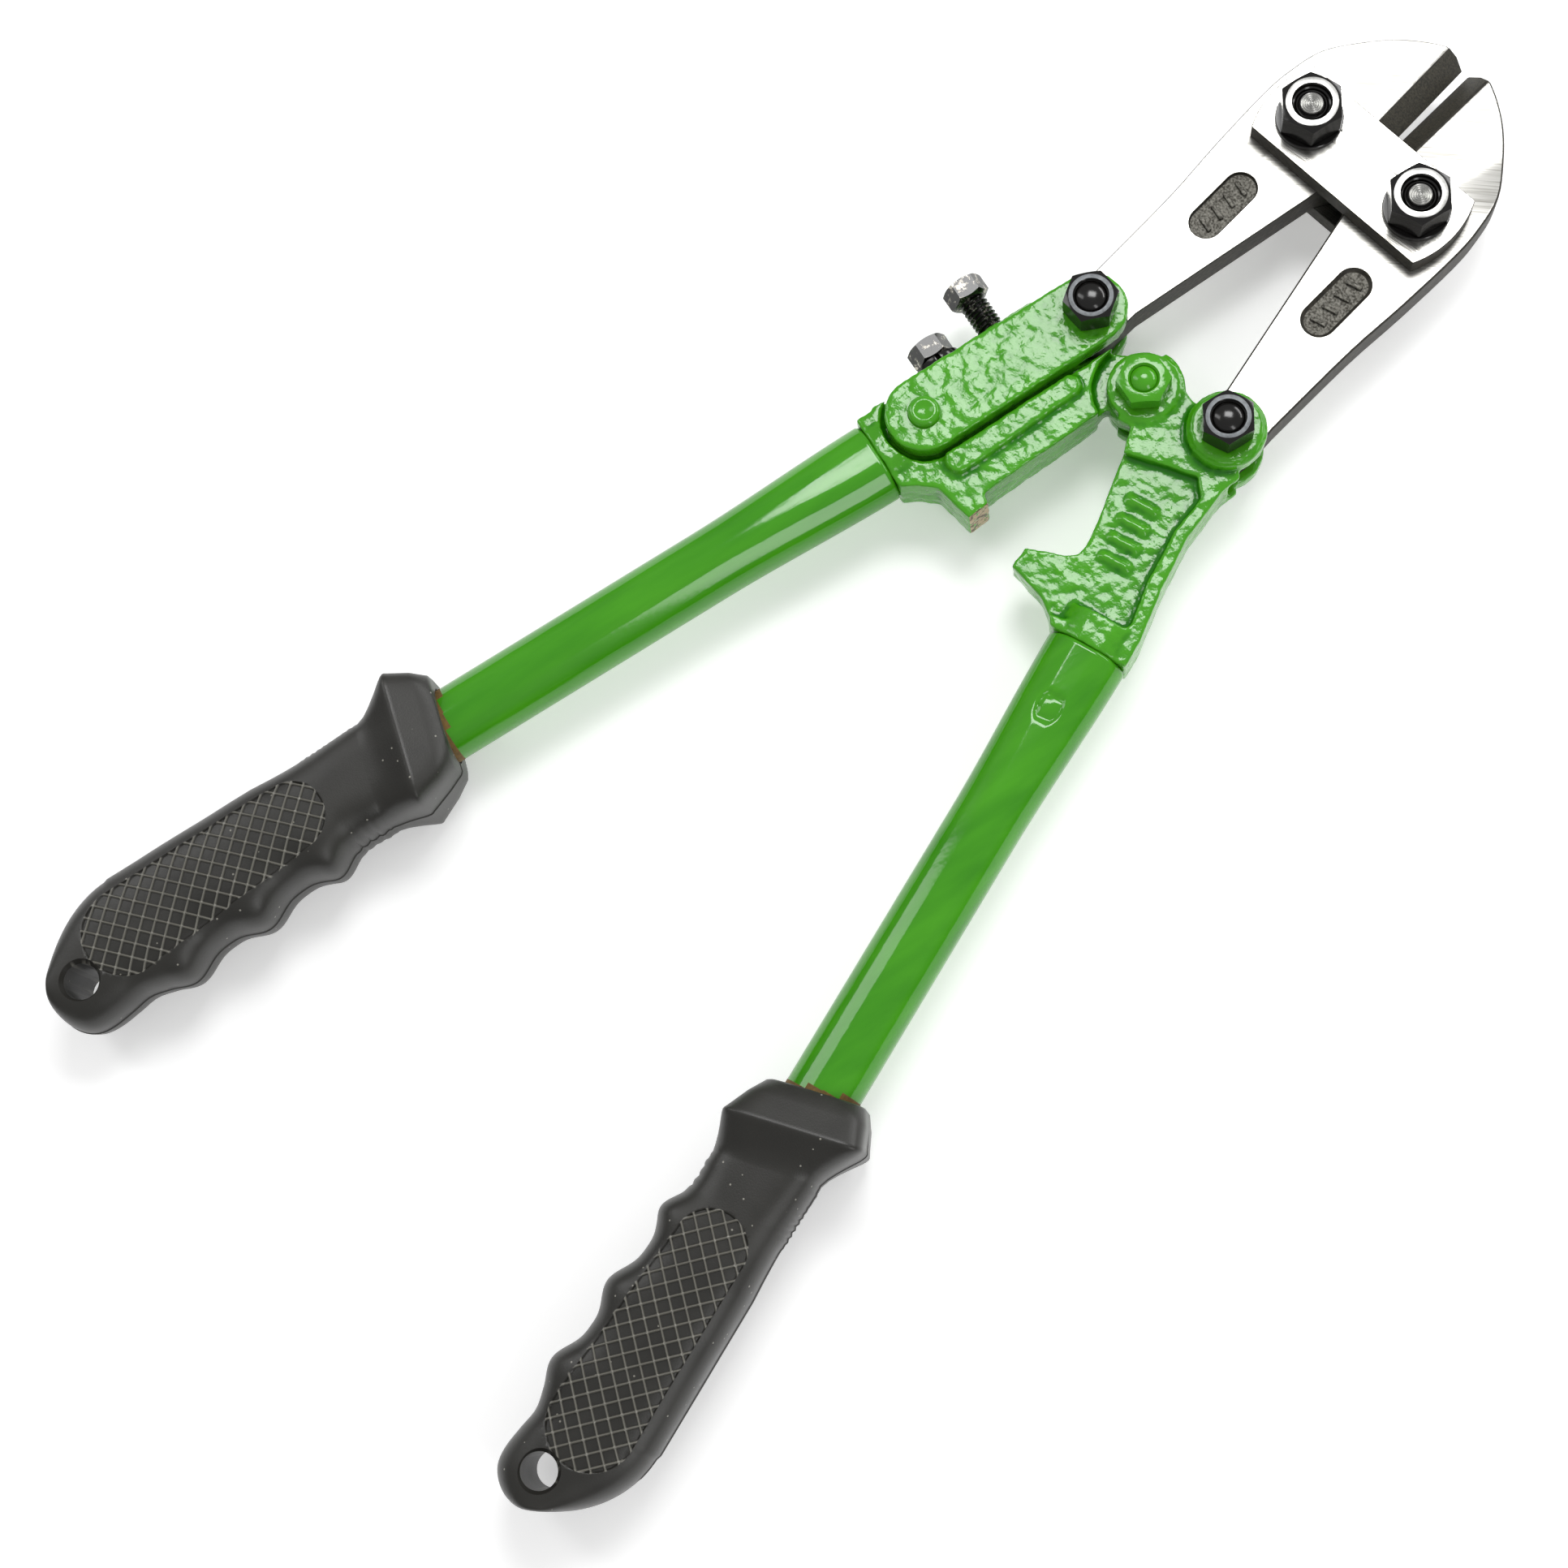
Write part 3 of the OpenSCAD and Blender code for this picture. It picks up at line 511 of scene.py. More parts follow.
SMOOTHING = 7       # passes that round a casting's edges
CAVITY_PASSES = 24  # passes that find its hollows
CAVITY_DEPTH = 0.25 * MM
STOP_TURN = math.radians(8.7)  # that each handle closes before its stop meets the other
STOP_DROP = 43.2               # from the centre pivot down to the stops
STOP_LENGTH = 9.0
STOP_REACH = 14.0              # from the tool's middle


def lumps(point, width):
    """Depth of the hollows of a sand-cast surface, from 0 to 1."""
    broad = noise.noise(point / width)
    fine = noise.noise(point / width * 2.3 + Vector((9, 4, 1)))
    return min(1.0, max(0.0, 0.45 + 0.75 * broad + 0.35 * fine))


def mark_hollows(made):
    """Stores how hollow the surface is at each point, for the painted shade that darkens the enamel there."""
    mesh = made.data
    before = [v.co.copy() for v in mesh.vertices]
    ease = made.modifiers.new("Ease", "SMOOTH")
    ease.iterations = CAVITY_PASSES
    ease.factor = 0.5
    depsgraph = bpy.context.evaluated_depsgraph_get()
    eased = made.evaluated_get(depsgraph).data
    hollow = [
        max(0.0, min(1.0, (after.co - co).dot(v.normal) / CAVITY_DEPTH))
        for after, co, v in zip(eased.vertices, before, mesh.vertices)
    ]
    made.modifiers.clear()
    mesh.attributes.new("painted_hollow_shade", "FLOAT", "POINT").data.foreach_set("value", hollow)


def cast(node, marks=None, stop_normal=None, bare_from=0.0):
    """A sand-cast piece: the CAD shape with rounded edges, lumps and hollows, and any raised marks."""
    bm = copy_of(node)
    if marks:
        marks(bm)
    made = to_object(node + "_finished", bm)
    grain = made.modifiers.new("Grain", "REMESH")
    grain.mode = "VOXEL"
    grain.voxel_size = size("voxel") * MM
    ease = made.modifiers.new("Ease", "SMOOTH")
    ease.iterations = SMOOTHING
    ease.factor = 0.5
    mesh = baked(made)
    depth = size("lump_depth") * MM
    moves = [v.normal * (-depth * lumps(v.co / MM, size("lump"))) for v in mesh.vertices]
    for vert, move in zip(mesh.vertices, moves):
        vert.co += move
    # hollows, for the painted shade in the enamel
    mark_hollows(made)
    if stop_normal:
        for face in mesh.polygons:
            spot = face.center / MM
            near = abs(spot.y - CENTRE.y + STOP_DROP) < STOP_LENGTH / 2 and abs(spot.x) < STOP_REACH
            if near and face.normal.dot(stop_normal) > 0.85 and noise.noise(spot) > bare_from:
                face.material_index = 1
    return settle(made, node, [shared(sand_cast_enamel), shared(worn_metal)], 180.0)


TALLY_START, TALLY_STEP = Vector((-5.5, 32, 0)), Vector((0.35, -4.4, 0))
TALLY_HEIGHT = 3.5


def tally(bm):
    """Four plain raised bars on both faces of casting b's panel, where a maker's casting mark would be."""
    for side in (-1, 1):
        for i in range(4):
            spot = HANDLE @ (TALLY_START + i * TALLY_STEP + Vector((0, 0, side * TALLY_HEIGHT)))
            bar(bm, spot, -math.atan(HANDLE_SLOPE), (6.4, 1.5, 1.7))


class CUTTERS_OT_castings(bpy.types.Operator):
    """Casting of each handle, with lumps, rounded edges and bared stop faces"""

    bl_idname = "cutters.castings"
    bl_label = "Castings"

    def execute(self, context):
        stop = Vector((-math.cos(STOP_TURN), -math.sin(STOP_TURN), 0))
        cast("casting_b", tally, stop, 0.12)
        cast("casting_a", None, MIRROR @ stop, -0.3)
        return {"FINISHED"}


class CUTTERS_OT_link(bpy.types.Operator):
    """Adjusting link and the rivet that holds it"""

    bl_idname = "cutters.link"
    bl_label = "Adjusting link"

    def execute(self, context):
        cast("adjusting_link")
        low, high = box("link_rivet")
        top = (high.z - low.z) / 2
        half = [(0, top - 0.35), (1.4, top - 0.3), (1.9, top - 0.05), (2.3, top), (2.8, top - 0.12),
                (3.25, top - 0.5), (3.4, top - 0.95), (3.4, top - 1.35), (2.5, top - 1.4)]
        rows = half + [(r, -z) for r, z in reversed(half)]
        finish("link_rivet", turned(rows, steps=64), [shared(sand_cast_enamel)], Matrix.Translation(RIVET))
        return {"FINISHED"}


# ---- jaws and head plates ----

POCKET_SHARE = 0.4                    # of the jaw's tail, from its pivot to the pocket's middle
POCKET_BARS = (-5.4, -1.8, 1.8, 5.4)  # raised bars along a jaw's pocket, from its middle
POCKET_BAR = (3.6, 1.0, 0.9)
POCKET_BAR_SUNK = 0.62                # from the jaw's face to a bar's middle
POCKET_BAR_TURN = 0.25
SCALE_EDGE = 0.4                      # width of the dark line along a jaw's edges
PLATE_EDGE = 0.3


class CUTTERS_OT_jaws(bpy.types.Operator):
    """Two jaws: ground faces, forged sides, hardened bevels and a sunk pocket with plain raised bars"""

    bl_idname = "cutters.jaws"
    bl_label = "Jaws"

    def execute(self, context):
        for node, side in (("jaw_a", -1), ("jaw_b", 1)):
            low, high = box(node)
            half = (high.z - low.z) / 2
            bm = copy_of(node)
            for face in bm.faces:
                level = abs(face.calc_center_median().z - MID_Z)
                flat = abs(face.normal.z)
                if flat > 0.95:
                    face.material_index = 0 if level > half - 0.1 else 3
                elif flat > 0.2:
                    face.material_index = 1
                else:
                    face.material_index = 2
            edge_line(bm, SCALE_EDGE, 2)
            down = POCKET_SHARE * (TAIL - JAW_PIVOT).length
            pocket = Vector((side * (JAW_PIVOT.x + 1), JAW_PIVOT.y - down))
            for face_side in (-1, 1):
                for along in POCKET_BARS:
                    spot = Vector((pocket.x, pocket.y + along, MID_Z + face_side * (half - POCKET_BAR_SUNK)))
                    bar(bm, spot, side * POCKET_BAR_TURN, POCKET_BAR, 0.2, 3)
            finish(node, bm, [
                shared(ground_steel, "Satin ground steel", math.radians(38), 0.3),
                shared(hardened_edge), shared(forged_scale), shared(pocket_floor),
            ], crease=25)
        return {"FINISHED"}


class CUTTERS_OT_plates(bpy.types.Operator):
    """Two head plates, ground bright, with their washers"""

    bl_idname = "cutters.plates"
    bl_label = "Head plates"

    def execute(self, context):
        for node in ("front_plate", "rear_plate"):
            bm = copy_of(node)
            for face in bm.faces:
                face.material_index = 0 if abs(face.normal.z) > 0.9 else 1
            edge_line(bm, PLATE_EDGE, 1)
            polish = shared(ground_steel, "Polished ground steel", math.radians(5), 0.18)
            finish(node, bm, [polish, shared(forged_scale)], crease=25)
        for node in ("jaw_washer_a", "jaw_washer_b"):
            low, high = box(node)
            ring((high.x - low.x) / 2, 4.0, high.z - low.z, node, upright(node, low.z, 0),
                 shared(black_oxide, "Oiled black oxide", 0.0))
        return {"FINISHED"}


def ring(outer, inner, thickness, node, matrix, material):
    """A flat washer with softened edges."""
    soft = 0.15
    rows = [(inner, 0), (outer - soft, 0), (outer, soft), (outer, thickness - soft),
            (outer - soft, thickness), (inner + soft, thickness), (inner, thickness - soft), (inner, 0)]
    return finish(node, turned(rows, steps=64), [material], matrix)


# ---- nuts and bolts ----


def bolt_rows(seat, head, radius, dome):
    """Rows of a bolt from the outer face of its head up to its end, whose own rows are given."""
    return [(0, seat - head), (4.4, seat - head), (None, seat - head, -1), (None, seat - 0.01, 0),
            (radius, seat), (radius, dome[0][1]), *dome]


def upright(node, height, heading):
    """Matrix that stands a turned piece on its node's axis at a height, turned by a heading in degrees."""
    spot = Vector((middle(node).x, middle(node).y, height))
    return Matrix.Translation(spot) @ Matrix.Rotation(math.radians(heading), 4, "Z")


def paint_rows(bm, rule):
    """Sets each face's material by a rule of its distance from the axis, its height and its normal."""
    bm.normal_update()
    for face in bm.faces:
        centre = face.calc_center_median()
        face.material_index = rule(Vector((centre.x, centre.y)).length, centre.z, face.normal)


JAW_NUT_TURN = -15
BOLT_HEAD = 5.3  # height of a bolt's hexagon head


class CUTTERS_OT_jaw_nuts(bpy.types.Operator):
    """Bolts and nuts of the jaw pivots: black, with a bright ring on the nut and turned rings on the bolt"""

    bl_idname = "cutters.jaw_nuts"
    bl_label = "Jaw pivots"

    def execute(self, context):
        black = shared(black_oxide, "Oiled black oxide", 0.0)
        bright = shared(faced_steel)
        for half in "ab":
            nut, bolt = "jaw_nut_" + half, "jaw_bolt_" + half
            low, high = box(nut)
            across, tall = high.y - low.y, high.z - low.z
            rows = [(3.6, 0), (0.45 * across, 0), (None, 0, -1), (None, tall, 1), (0.452 * across, tall),
                    (0.35 * across, tall), (0.335 * across, tall - 0.25), (0.325 * across, tall - 1.3),
                    (3.6, tall - 1.5), (3.6, 0)]
            bm = turned(rows, across)
            paint_rows(bm, lambda r, z, n: int(n.z > 0.9 and 4.0 < r < 5.6 and z > tall - 0.2))
            finish(nut, bm, [black, bright], upright(nut, low.z, JAW_NUT_TURN))
            foot, end = box(bolt)[0].z, box(bolt)[1].z
            rings = [(2.3 - 0.23 * i, end - (0.22 if i % 2 else 0.0) - 0.02 * (10 - i)) for i in range(10)]
            dome = [(4.0, end - 1.9), (3.6, end - 1.5), (3.3, end - 1.35), (3.15, end - 0.9),
                    (2.95, end - 0.95), (2.75, end - 1.2), (2.45, end - 0.5), *rings, (0, end)]
            bm = turned(bolt_rows(foot + BOLT_HEAD, BOLT_HEAD, 4.0, dome), box(bolt)[1].y - box(bolt)[0].y)
            paint_rows(bm, lambda r, z, n: int(r < 2.4 and z > end - 0.7 or 3.1 < r < 3.3 and z > end - 1.1))
            finish(bolt, bm, [black, bright], upright(bolt, 0, JAW_NUT_TURN))
        return {"FINISHED"}


class CUTTERS_OT_tail_nuts(bpy.types.Operator):
    """Bolts and nuts of the tail pivots, with domed black bolt ends, and the enamelled centre pivot"""

    bl_idname = "cutters.tail_nuts"
    bl_label = "Linkage pivots"

    def execute(self, context):
        black = shared(black_oxide, "Oiled black oxide", 0.0)
        grey = shared(phosphate)
        enamel = shared(sand_cast_enamel)
        sets = (
            ("tail_nut_a", "tail_bolt_a", BOLT_HEAD, 3.4, 24, [black, grey]),
            ("tail_nut_b", "tail_bolt_b", BOLT_HEAD, 3.4, -15, [black, grey]),
            ("pivot_nut", "pivot_bolt", 4.0, 2.95, 17, [enamel, enamel]),
        )
        for nut, bolt, head, bore, heading, materials in sets:
            low, high = box(nut)
            across, tall = high.y - low.y, high.z - low.z
            rows = [(bore - 0.2, 0), (0.45 * across, 0), (None, 0, -1), (None, tall, 1),
                    (0.452 * across, tall), (bore + 0.35, tall), (bore, tall - 0.35),
                    (bore - 0.2, tall - 0.8), (bore - 0.2, 0)]
            bm = turned(rows, across)
            paint_rows(bm, lambda r, z, n: int(n.z > 0.9 and r < 0.47 * across and z > tall - 0.2))
            finish(nut, bm, materials, upright(nut, low.z, heading))
            foot, end = box(bolt)[0].z, box(bolt)[1].z
            wide, rise = bore - 0.12, 1.5
            dome = [(bore - 0.05, end - rise - 0.9), (wide, end - rise)] + [
                (wide * math.cos(math.radians(a)), end - rise + rise * math.sin(math.radians(a)))
                for a in range(15, 91, 15)
            ]
            bm = turned(bolt_rows(foot + head, head, bore, dome), box(bolt)[1].y - box(bolt)[0].y)
            finish(bolt, bm, materials[:1], upright(bolt, 0, heading))
        return {"FINISHED"}


SCREW_R = 2.98
THREAD_DEPTH = 0.55
THREAD_COLUMNS = 40
THREAD_ROWS_PER_TURN = 8


def thread_radius(radius, turns):
    """Radius of a worn V thread, from a place along it counted in turns."""
    share = abs((turns % 1) - 0.5) * 2
    return radius - THREAD_DEPTH * min(1.0, max(0.0, (share - 0.12) / 0.76))


def screw(node, joint, shank, head_radius_rows):
    """A threaded screw whose head seats at its joint's place, with Z out of the link."""
    pitch = size("thread_pitch")
    count = int(shank / pitch * THREAD_ROWS_PER_TURN)

    def place(column, row):
        angle = 2 * math.pi * column / THREAD_COLUMNS
        height = -shank + shank * (row - 1) / (count - 1)
        if row == 0:
            return Vector((0, 0, -shank))
        if row == count + 1:
            return Vector((0, 0, 0))
        r = thread_radius(SCREW_R, height / pitch - column / THREAD_COLUMNS)
        return Vector((r * math.cos(angle), r * math.sin(angle), height))

    bm = skin(THREAD_COLUMNS, count + 1, place)
    head = turned(head_radius_rows, 8.0)
    paint_rows(head, lambda r, z, n: 1)
    mesh = bpy.data.meshes.new("head")
    head.to_mesh(mesh)
    head.free()
    bm.from_mesh(mesh)
    bpy.data.meshes.remove(mesh)
    return finish(node, bm, [
        shared(black_oxide, "Black oxide thread", 0.14), shared(black_oxide, "Rubbed black oxide", 0.2),
    ], axis_matrix(joint), crease=50)


class CUTTERS_OT_screws(bpy.types.Operator):
    """Adjusting screw and lock bolt with real threads, and the lock bolt's two washers"""

    bl_idname = "cutters.screws"
    bl_label = "Screws"

    def execute(self, context):
        head = 4.8
        rows = [(0, 0), (3.4, 0), (3.7, 0.25), (None, 0.35, -1), (None, head, 1), (3.72, head),
                (3.3, head - 0.1), (1.5, head - 0.16), (0, head - 0.2)]
        screw("adjusting_screw", "adjusting_screw_turn", 13.6, rows)
        screw("lock_bolt", "lock_bolt_turn", 14.7, rows)
        seat = axis_matrix("lock_bolt_turn")
        black = shared(black_oxide, "Oiled black oxide", 0.0)
        ring(6.0, 3.08, 1.3, "lock_washer", seat @ Matrix.Translation((0, 0, -3.0)), black)
        spring_washer(seat, black)
        return {"FINISHED"}


def spring_washer(seat, material):
    """A split spring washer of square section, its two ends a little apart."""
    outer, inner, thickness, split = 5.2, 3.2, 1.55, math.radians(5)
    columns = 72
    section = [(inner, 0.05), (outer, 0.05), (outer, thickness), (inner, thickness), (inner, 0.05)]
    bm = bmesh.new()
    bmesh.ops.create_grid(bm, x_segments=columns, y_segments=4, size=0.5)
    for vert in bm.verts:
        angle = split + (2 * math.pi - 2 * split) * (vert.co.x + 0.5)
        radius, height = section[round((vert.co.y + 0.5) * 4)]
        vert.co = (radius * math.cos(angle), radius * math.sin(angle), height - 1.7)
    bmesh.ops.remove_doubles(bm, verts=bm.verts, dist=1e-4)
    bmesh.ops.holes_fill(bm, edges=[e for e in bm.edges if e.is_boundary], sides=0)
    rounded(bm, 0.12, 40)
    finish("spring_washer", bm, [material], seat)


# ---- tubes ----

TUBE_COLUMNS = 128
DIMPLE = Vector((-0.2, -15.0))
DIMPLE_HALF = Vector((2.3, 3.4))


def tube_section(down, angle, inset):
    """Point of a tube's section, wide and flat at the top and round lower down."""
    flat = max(0.0, 1 - down / size("oval_len"))
    flat = flat * flat * (3 - 2 * flat)
    width = 2 * TUBE_RADIUS + flat * (size("oval_w") - 2 * TUBE_RADIUS) - 2 * inset
    thick = 2 * TUBE_RADIUS + flat * (size("oval_t") - 2 * TUBE_RADIUS) - 2 * inset
    shift = math.copysign((width - thick) / 2, math.cos(angle))
    return Vector((shift + thick / 2 * math.cos(angle), -down, thick / 2 * math.sin(angle)))


def dimple(point):
    """Depth of the oval crimp mark at a point of the tube's upper side."""
    reach = math.hypot((point.x - DIMPLE.x) / DIMPLE_HALF.x, (point.y - DIMPLE.y) / DIMPLE_HALF.y)
    groove = 0.45 * math.exp(-(((reach - 1) / 0.16) ** 2))
    return groove + (0.14 if reach < 1 else 0.0)


def grime():
    """Brown dust and old mould release caught where the tube goes into the grip."""
    material, place = begin("Grime at the grip's mouth")
    mottle = add(material, "TexNoise", {}, {"Vector": place, "Scale": per(1), "Detail": 3.0})
    shade = add(material, "Mix", MIX, {0: mottle.outputs[0], 6: linear("#3C2A12"), 7: linear("#8A6A2C")})
    return surface(material, {"Base Color": shade.outputs[2], "Roughness": 0.7})


GRIME_WIDTH = 0.8


def tube_skin(with_dimple):
    """A hollow tube: rows run down its outside and back up its inside."""
    downs = [0.0, 0.25, 0.6] + [1 + 0.45 * i for i in range(60)] + [28.5 + 1.55 * i for i in range(100)]
    downs = sorted([d for d in downs if d < TUBE_LENGTH] + [TUBE_LENGTH, -MOUTH - GRIME_WIDTH])
    rows = [(d, 0.0 if d > 0.5 else 0.5 - d) for d in downs]
    rows += [(d, size("tube_wall")) for d in (TUBE_LENGTH, size("oval_len"), 28, 14, 0)]
    rows.append(rows[0])

    def place(column, row):
        angle = 2 * math.pi * (column + 0.5) / TUBE_COLUMNS
        down, inset = rows[row]
        point = tube_section(down, angle, inset)
        if with_dimple and row < len(downs) and point.z > 3:
            point.z -= dimple(point)
        return point

    bm = skin(TUBE_COLUMNS, len(rows) - 1, place)
    for face in bm.faces:
        # the mouth is slanted, so the grime follows the grip's edge
        spot = face.calc_center_median()
        edge = mouth_point(spot.x).y
        face.material_index = int(edge - 4 < spot.y < edge + GRIME_WIDTH)
    return bm


class CUTTERS_OT_tubes(bpy.types.Operator):
    """Two handle tubes, flattened at the collar, with a crimp mark"""

    bl_idname = "cutters.tubes"
    bl_label = "Tubes"

    def execute(self, context):
        for node, mirror in (("tube_b", Matrix.Identity(4)), ("tube_a", MIRROR)):
            finish(node, tube_skin(node == "tube_b"), [shared(drawn_tube_enamel), shared(grime)],
                   mirror @ HANDLE, crease=60)
        return {"FINISHED"}


# ---- grips ----

MOUTH = -105.5        # grip mouth in the handle's frame
GRIP_COLUMNS = 112
SIDE_X = 8.65
HOLE = Vector((-8.4, MOUTH - 90.2))
HOLE_R = 3.75
HEEL_R = 22.5
HEEL = Vector((SIDE_X + 0.3 - HEEL_R, MOUTH - 76.2))
PANEL_TOP, PANEL_TOP_R = Vector((-2.2, -142.2)), 7.6
PANEL_END, PANEL_END_R = Vector((-4.2, -182.8)), 9.3
PANEL_SUNK = 0.5


def finger_x(down):
    """Finger side of the grip: three rounded ridges with wider hollows between them."""
    swing = 0.5 + 0.5 * math.cos(2 * math.pi * (down - 34.2) / size("finger_pitch"))
    return -13.2 - 0.08 * (down - 34.2) - 2.6 * swing**1.5


def serration(down, pitch):
    """Height of the small ridges on the grip's side walls, below the flange."""
    first, last = 15.5, 30.5
    if not first < down < last:
        return 0.0
    fade = min(1.0, (down - first) / 2, (last - down) / 2)
    return 0.4 * fade * math.sin(2 * math.pi * (down - first) / pitch)


# Finger side of the grip's end, from the last ridge round to the heel, as steps from the hang hole
END_STEPS = ((-7.8, 9.2), (-8.5, 4.7), (-9.15, 0.0), (-8.8, -3.6), (-7.0, -6.3), (-4.1, -8.1), (-0.5, -8.5))
HEEL_SWEEP = 68.0  # degrees of heel before it meets the finger side
END_START = 0.8    # of the end's length, where its thickness starts to close


def on_curve(points, q):
    """Point of a smooth curve through the given ones and the end of the heel, for q from 0 to 1."""
    sweep = -math.radians(HEEL_SWEEP)
    points = [*points, HEEL + HEEL_R * Vector((math.cos(sweep), math.sin(sweep)))]
    i = min(len(points) - 2, int(q * (len(points) - 1)))
    t = q * (len(points) - 1) - i
    a, b, c, d = points[max(i - 1, 0)], points[i], points[i + 1], points[min(i + 2, len(points) - 1)]
    return b + (c - a) * t / 2 + (2 * a - 5 * b + 4 * c - d) * t * t / 2 + (3 * b - a - 3 * c + d) * t**3 / 2


def mouth_point(x, down=0.0, tilt=HANDLE_SLOPE):
    """Point of a ring that lies tilted across the grip, as its slanted mouth does."""
    return Vector((x, MOUTH - down - x * tilt))


def grip_rings():
    """Rings of the grip as (left, right, half thickness, squareness), from the bore's end, out of the mouth,
    over the flange and down to the rounded end."""
    bore = TUBE_RADIUS + 0.04
    deep = -TUBE_LENGTH
    rings = [
        (Vector((0, deep)), Vector((0, deep)), 0.0, 2.0),
        (Vector((-bore, deep)), Vector((bore, deep)), bore, 2.0),
        (mouth_point(-bore, 0.9), mouth_point(bore, 0.9), bore, 2.0),
        (mouth_point(-bore - 0.35), mouth_point(bore + 0.35), bore + 0.35, 2.0),
        (mouth_point(-9.9), mouth_point(9.3), 9.2, 4.5),
        (mouth_point(-10.5, 0.4), mouth_point(9.9, 0.4), 9.7, 5.5),
    ]
    flange = (
        (-12.2, 11.7, 3.6, 11.3, 8.0), (-14.05, 13.55, 8.0, 13.1, 9.0), (-14.3, 13.8, 8.5, 13.35, 9.0),
        (-14.35, 13.85, 8.9, 13.4, 9.0), (-14.28, 13.7, 9.4, 13.3, 8.5), (-14.1, 13.3, 10.2, 12.95, 7.5),
        (-13.6, 12.0, 12.0, 12.1, 6.0), (-12.9, 10.6, 14.0, 11.3, 5.0), (-12.4, 9.6, 15.8, 10.8, 4.2),
    )
    rings += [(mouth_point(left, down), mouth_point(right, down), thick, square)
              for left, right, down, thick, square in flange]
    start, stop = 17.5, 76.2
    steps = 92
    for i in range(steps + 1):
        down = start + (stop - start) * i / steps
        settle_in = min(1.0, max(0.0, (down - start) / 10))
        left = -12.1 * (1 - settle_in) + finger_x(down) * settle_in
        right = 9.0 - 0.5 * math.sin(math.pi * min(1.0, (down - start) / 24)) + 0.25 * settle_in
        tilt = HANDLE_SLOPE * max(0.0, 1 - (down - start) / 20)
        thick = 10.6 + 0.8 * math.sin(math.pi * min(1.0, (down - start) / 58))
        square = 4.0 - 0.8 * settle_in
        rings.append((mouth_point(left, down, tilt), mouth_point(right, down, tilt), thick, square))
    steps = 44
    path = [rings[-1][0]] + [HOLE + Vector(step) for step in END_STEPS]
    for i in range(1, steps + 1):
        q = math.sin(math.pi / 2 * i / steps)
        sweep = -math.radians(HEEL_SWEEP * q)
        right = HEEL + HEEL_R * Vector((math.cos(sweep), math.sin(sweep)))
        left = on_curve(path, q)
        taper = max(0.0, (q - END_START) / (1 - END_START))
        rings.append((left, right, (10.6 - 0.9 * q) * math.sqrt(1 - taper**2), 3.2 - 0.9 * q))
    return rings


def grip_skin():
    rings = grip_rings()

    def place(column, row):
        left, right, thick, square = rings[row]
        angle = 2 * math.pi * (column + 0.5) / GRIP_COLUMNS
        cos, sin = math.cos(angle), math.sin(angle)
        reach = (abs(cos) ** square + abs(sin) ** square) ** (-1 / square)
        spot = (left + right) / 2 + (right - left) / 2 * reach * cos
        pitch = 3.0 if cos > 0 else 4.2
        ridge = serration(MOUTH - spot.y, pitch) * abs(reach * cos) ** 12
        return Vector((spot.x + math.copysign(ridge, cos), spot.y, thick * reach * sin))

    return skin(GRIP_COLUMNS, len(rings) - 1, place)


def panel_distance(x, y):
    """Distance outside the hatched panel's outline. It is negative inside."""
    run = PANEL_END - PANEL_TOP
    share = max(0.0, min(1.0, (Vector((x, y)) - PANEL_TOP).dot(run) / run.length_squared))
    radius = PANEL_TOP_R + (PANEL_END_R - PANEL_TOP_R) * share
    return (Vector((x, y)) - (PANEL_TOP + run * share)).length - radius


def cut(bm, faces, point, direction):
    """Cuts faces along an upright plane, so that their edges follow it."""
    edges = {e for f in faces for e in f.edges}
    verts = {v for f in faces for v in f.verts}
    bmesh.ops.bisect_plane(bm, geom=[*faces, *edges, *verts], plane_co=point, plane_no=direction, dist=1e-4)


def panel_faces(bm, margin):
    return [f for f in bm.faces if abs(f.normal.z) > 0.25
            and panel_distance(*f.calc_center_median().xy) < margin and abs(f.calc_center_median().z) > 4]


def outline_points(margin):
    """Points round the panel's outline, drawn in by a margin."""
    points = []
    for centre, radius, first in ((PANEL_TOP, PANEL_TOP_R, 0), (PANEL_END, PANEL_END_R, 180)):
        for i in range(17):
            angle = math.radians(first + 180 * i / 16)
            points.append(centre + (radius - margin) * Vector((math.cos(angle), math.sin(angle))))
    return points


HATCH_EDGE = 0.35
RIB_HALF = 0.34


def hatch_shift(point):
    """How far the panel's surface moves out at a point, and how near the top of a rib it is, from 0 to 1: a
    sunk floor, with ribs that cross it both ways."""
    inside = -panel_distance(point.x, point.y)
    if inside < 1e-3:
        return 0.0, 0.0
    pitch = size("hatch_pitch")
    sunk = PANEL_SUNK * min(1.0, inside / HATCH_EDGE)
    rib = 0.0
    for way in (-1, 1):
        along = (point.x + way * point.y) / math.sqrt(2) / pitch
        gap = abs(along - round(along)) * pitch
        rib = max(rib, 1 - gap / RIB_HALF)
    return -sunk + rib * size("rib_h") * min(1.0, inside / HATCH_EDGE), rib


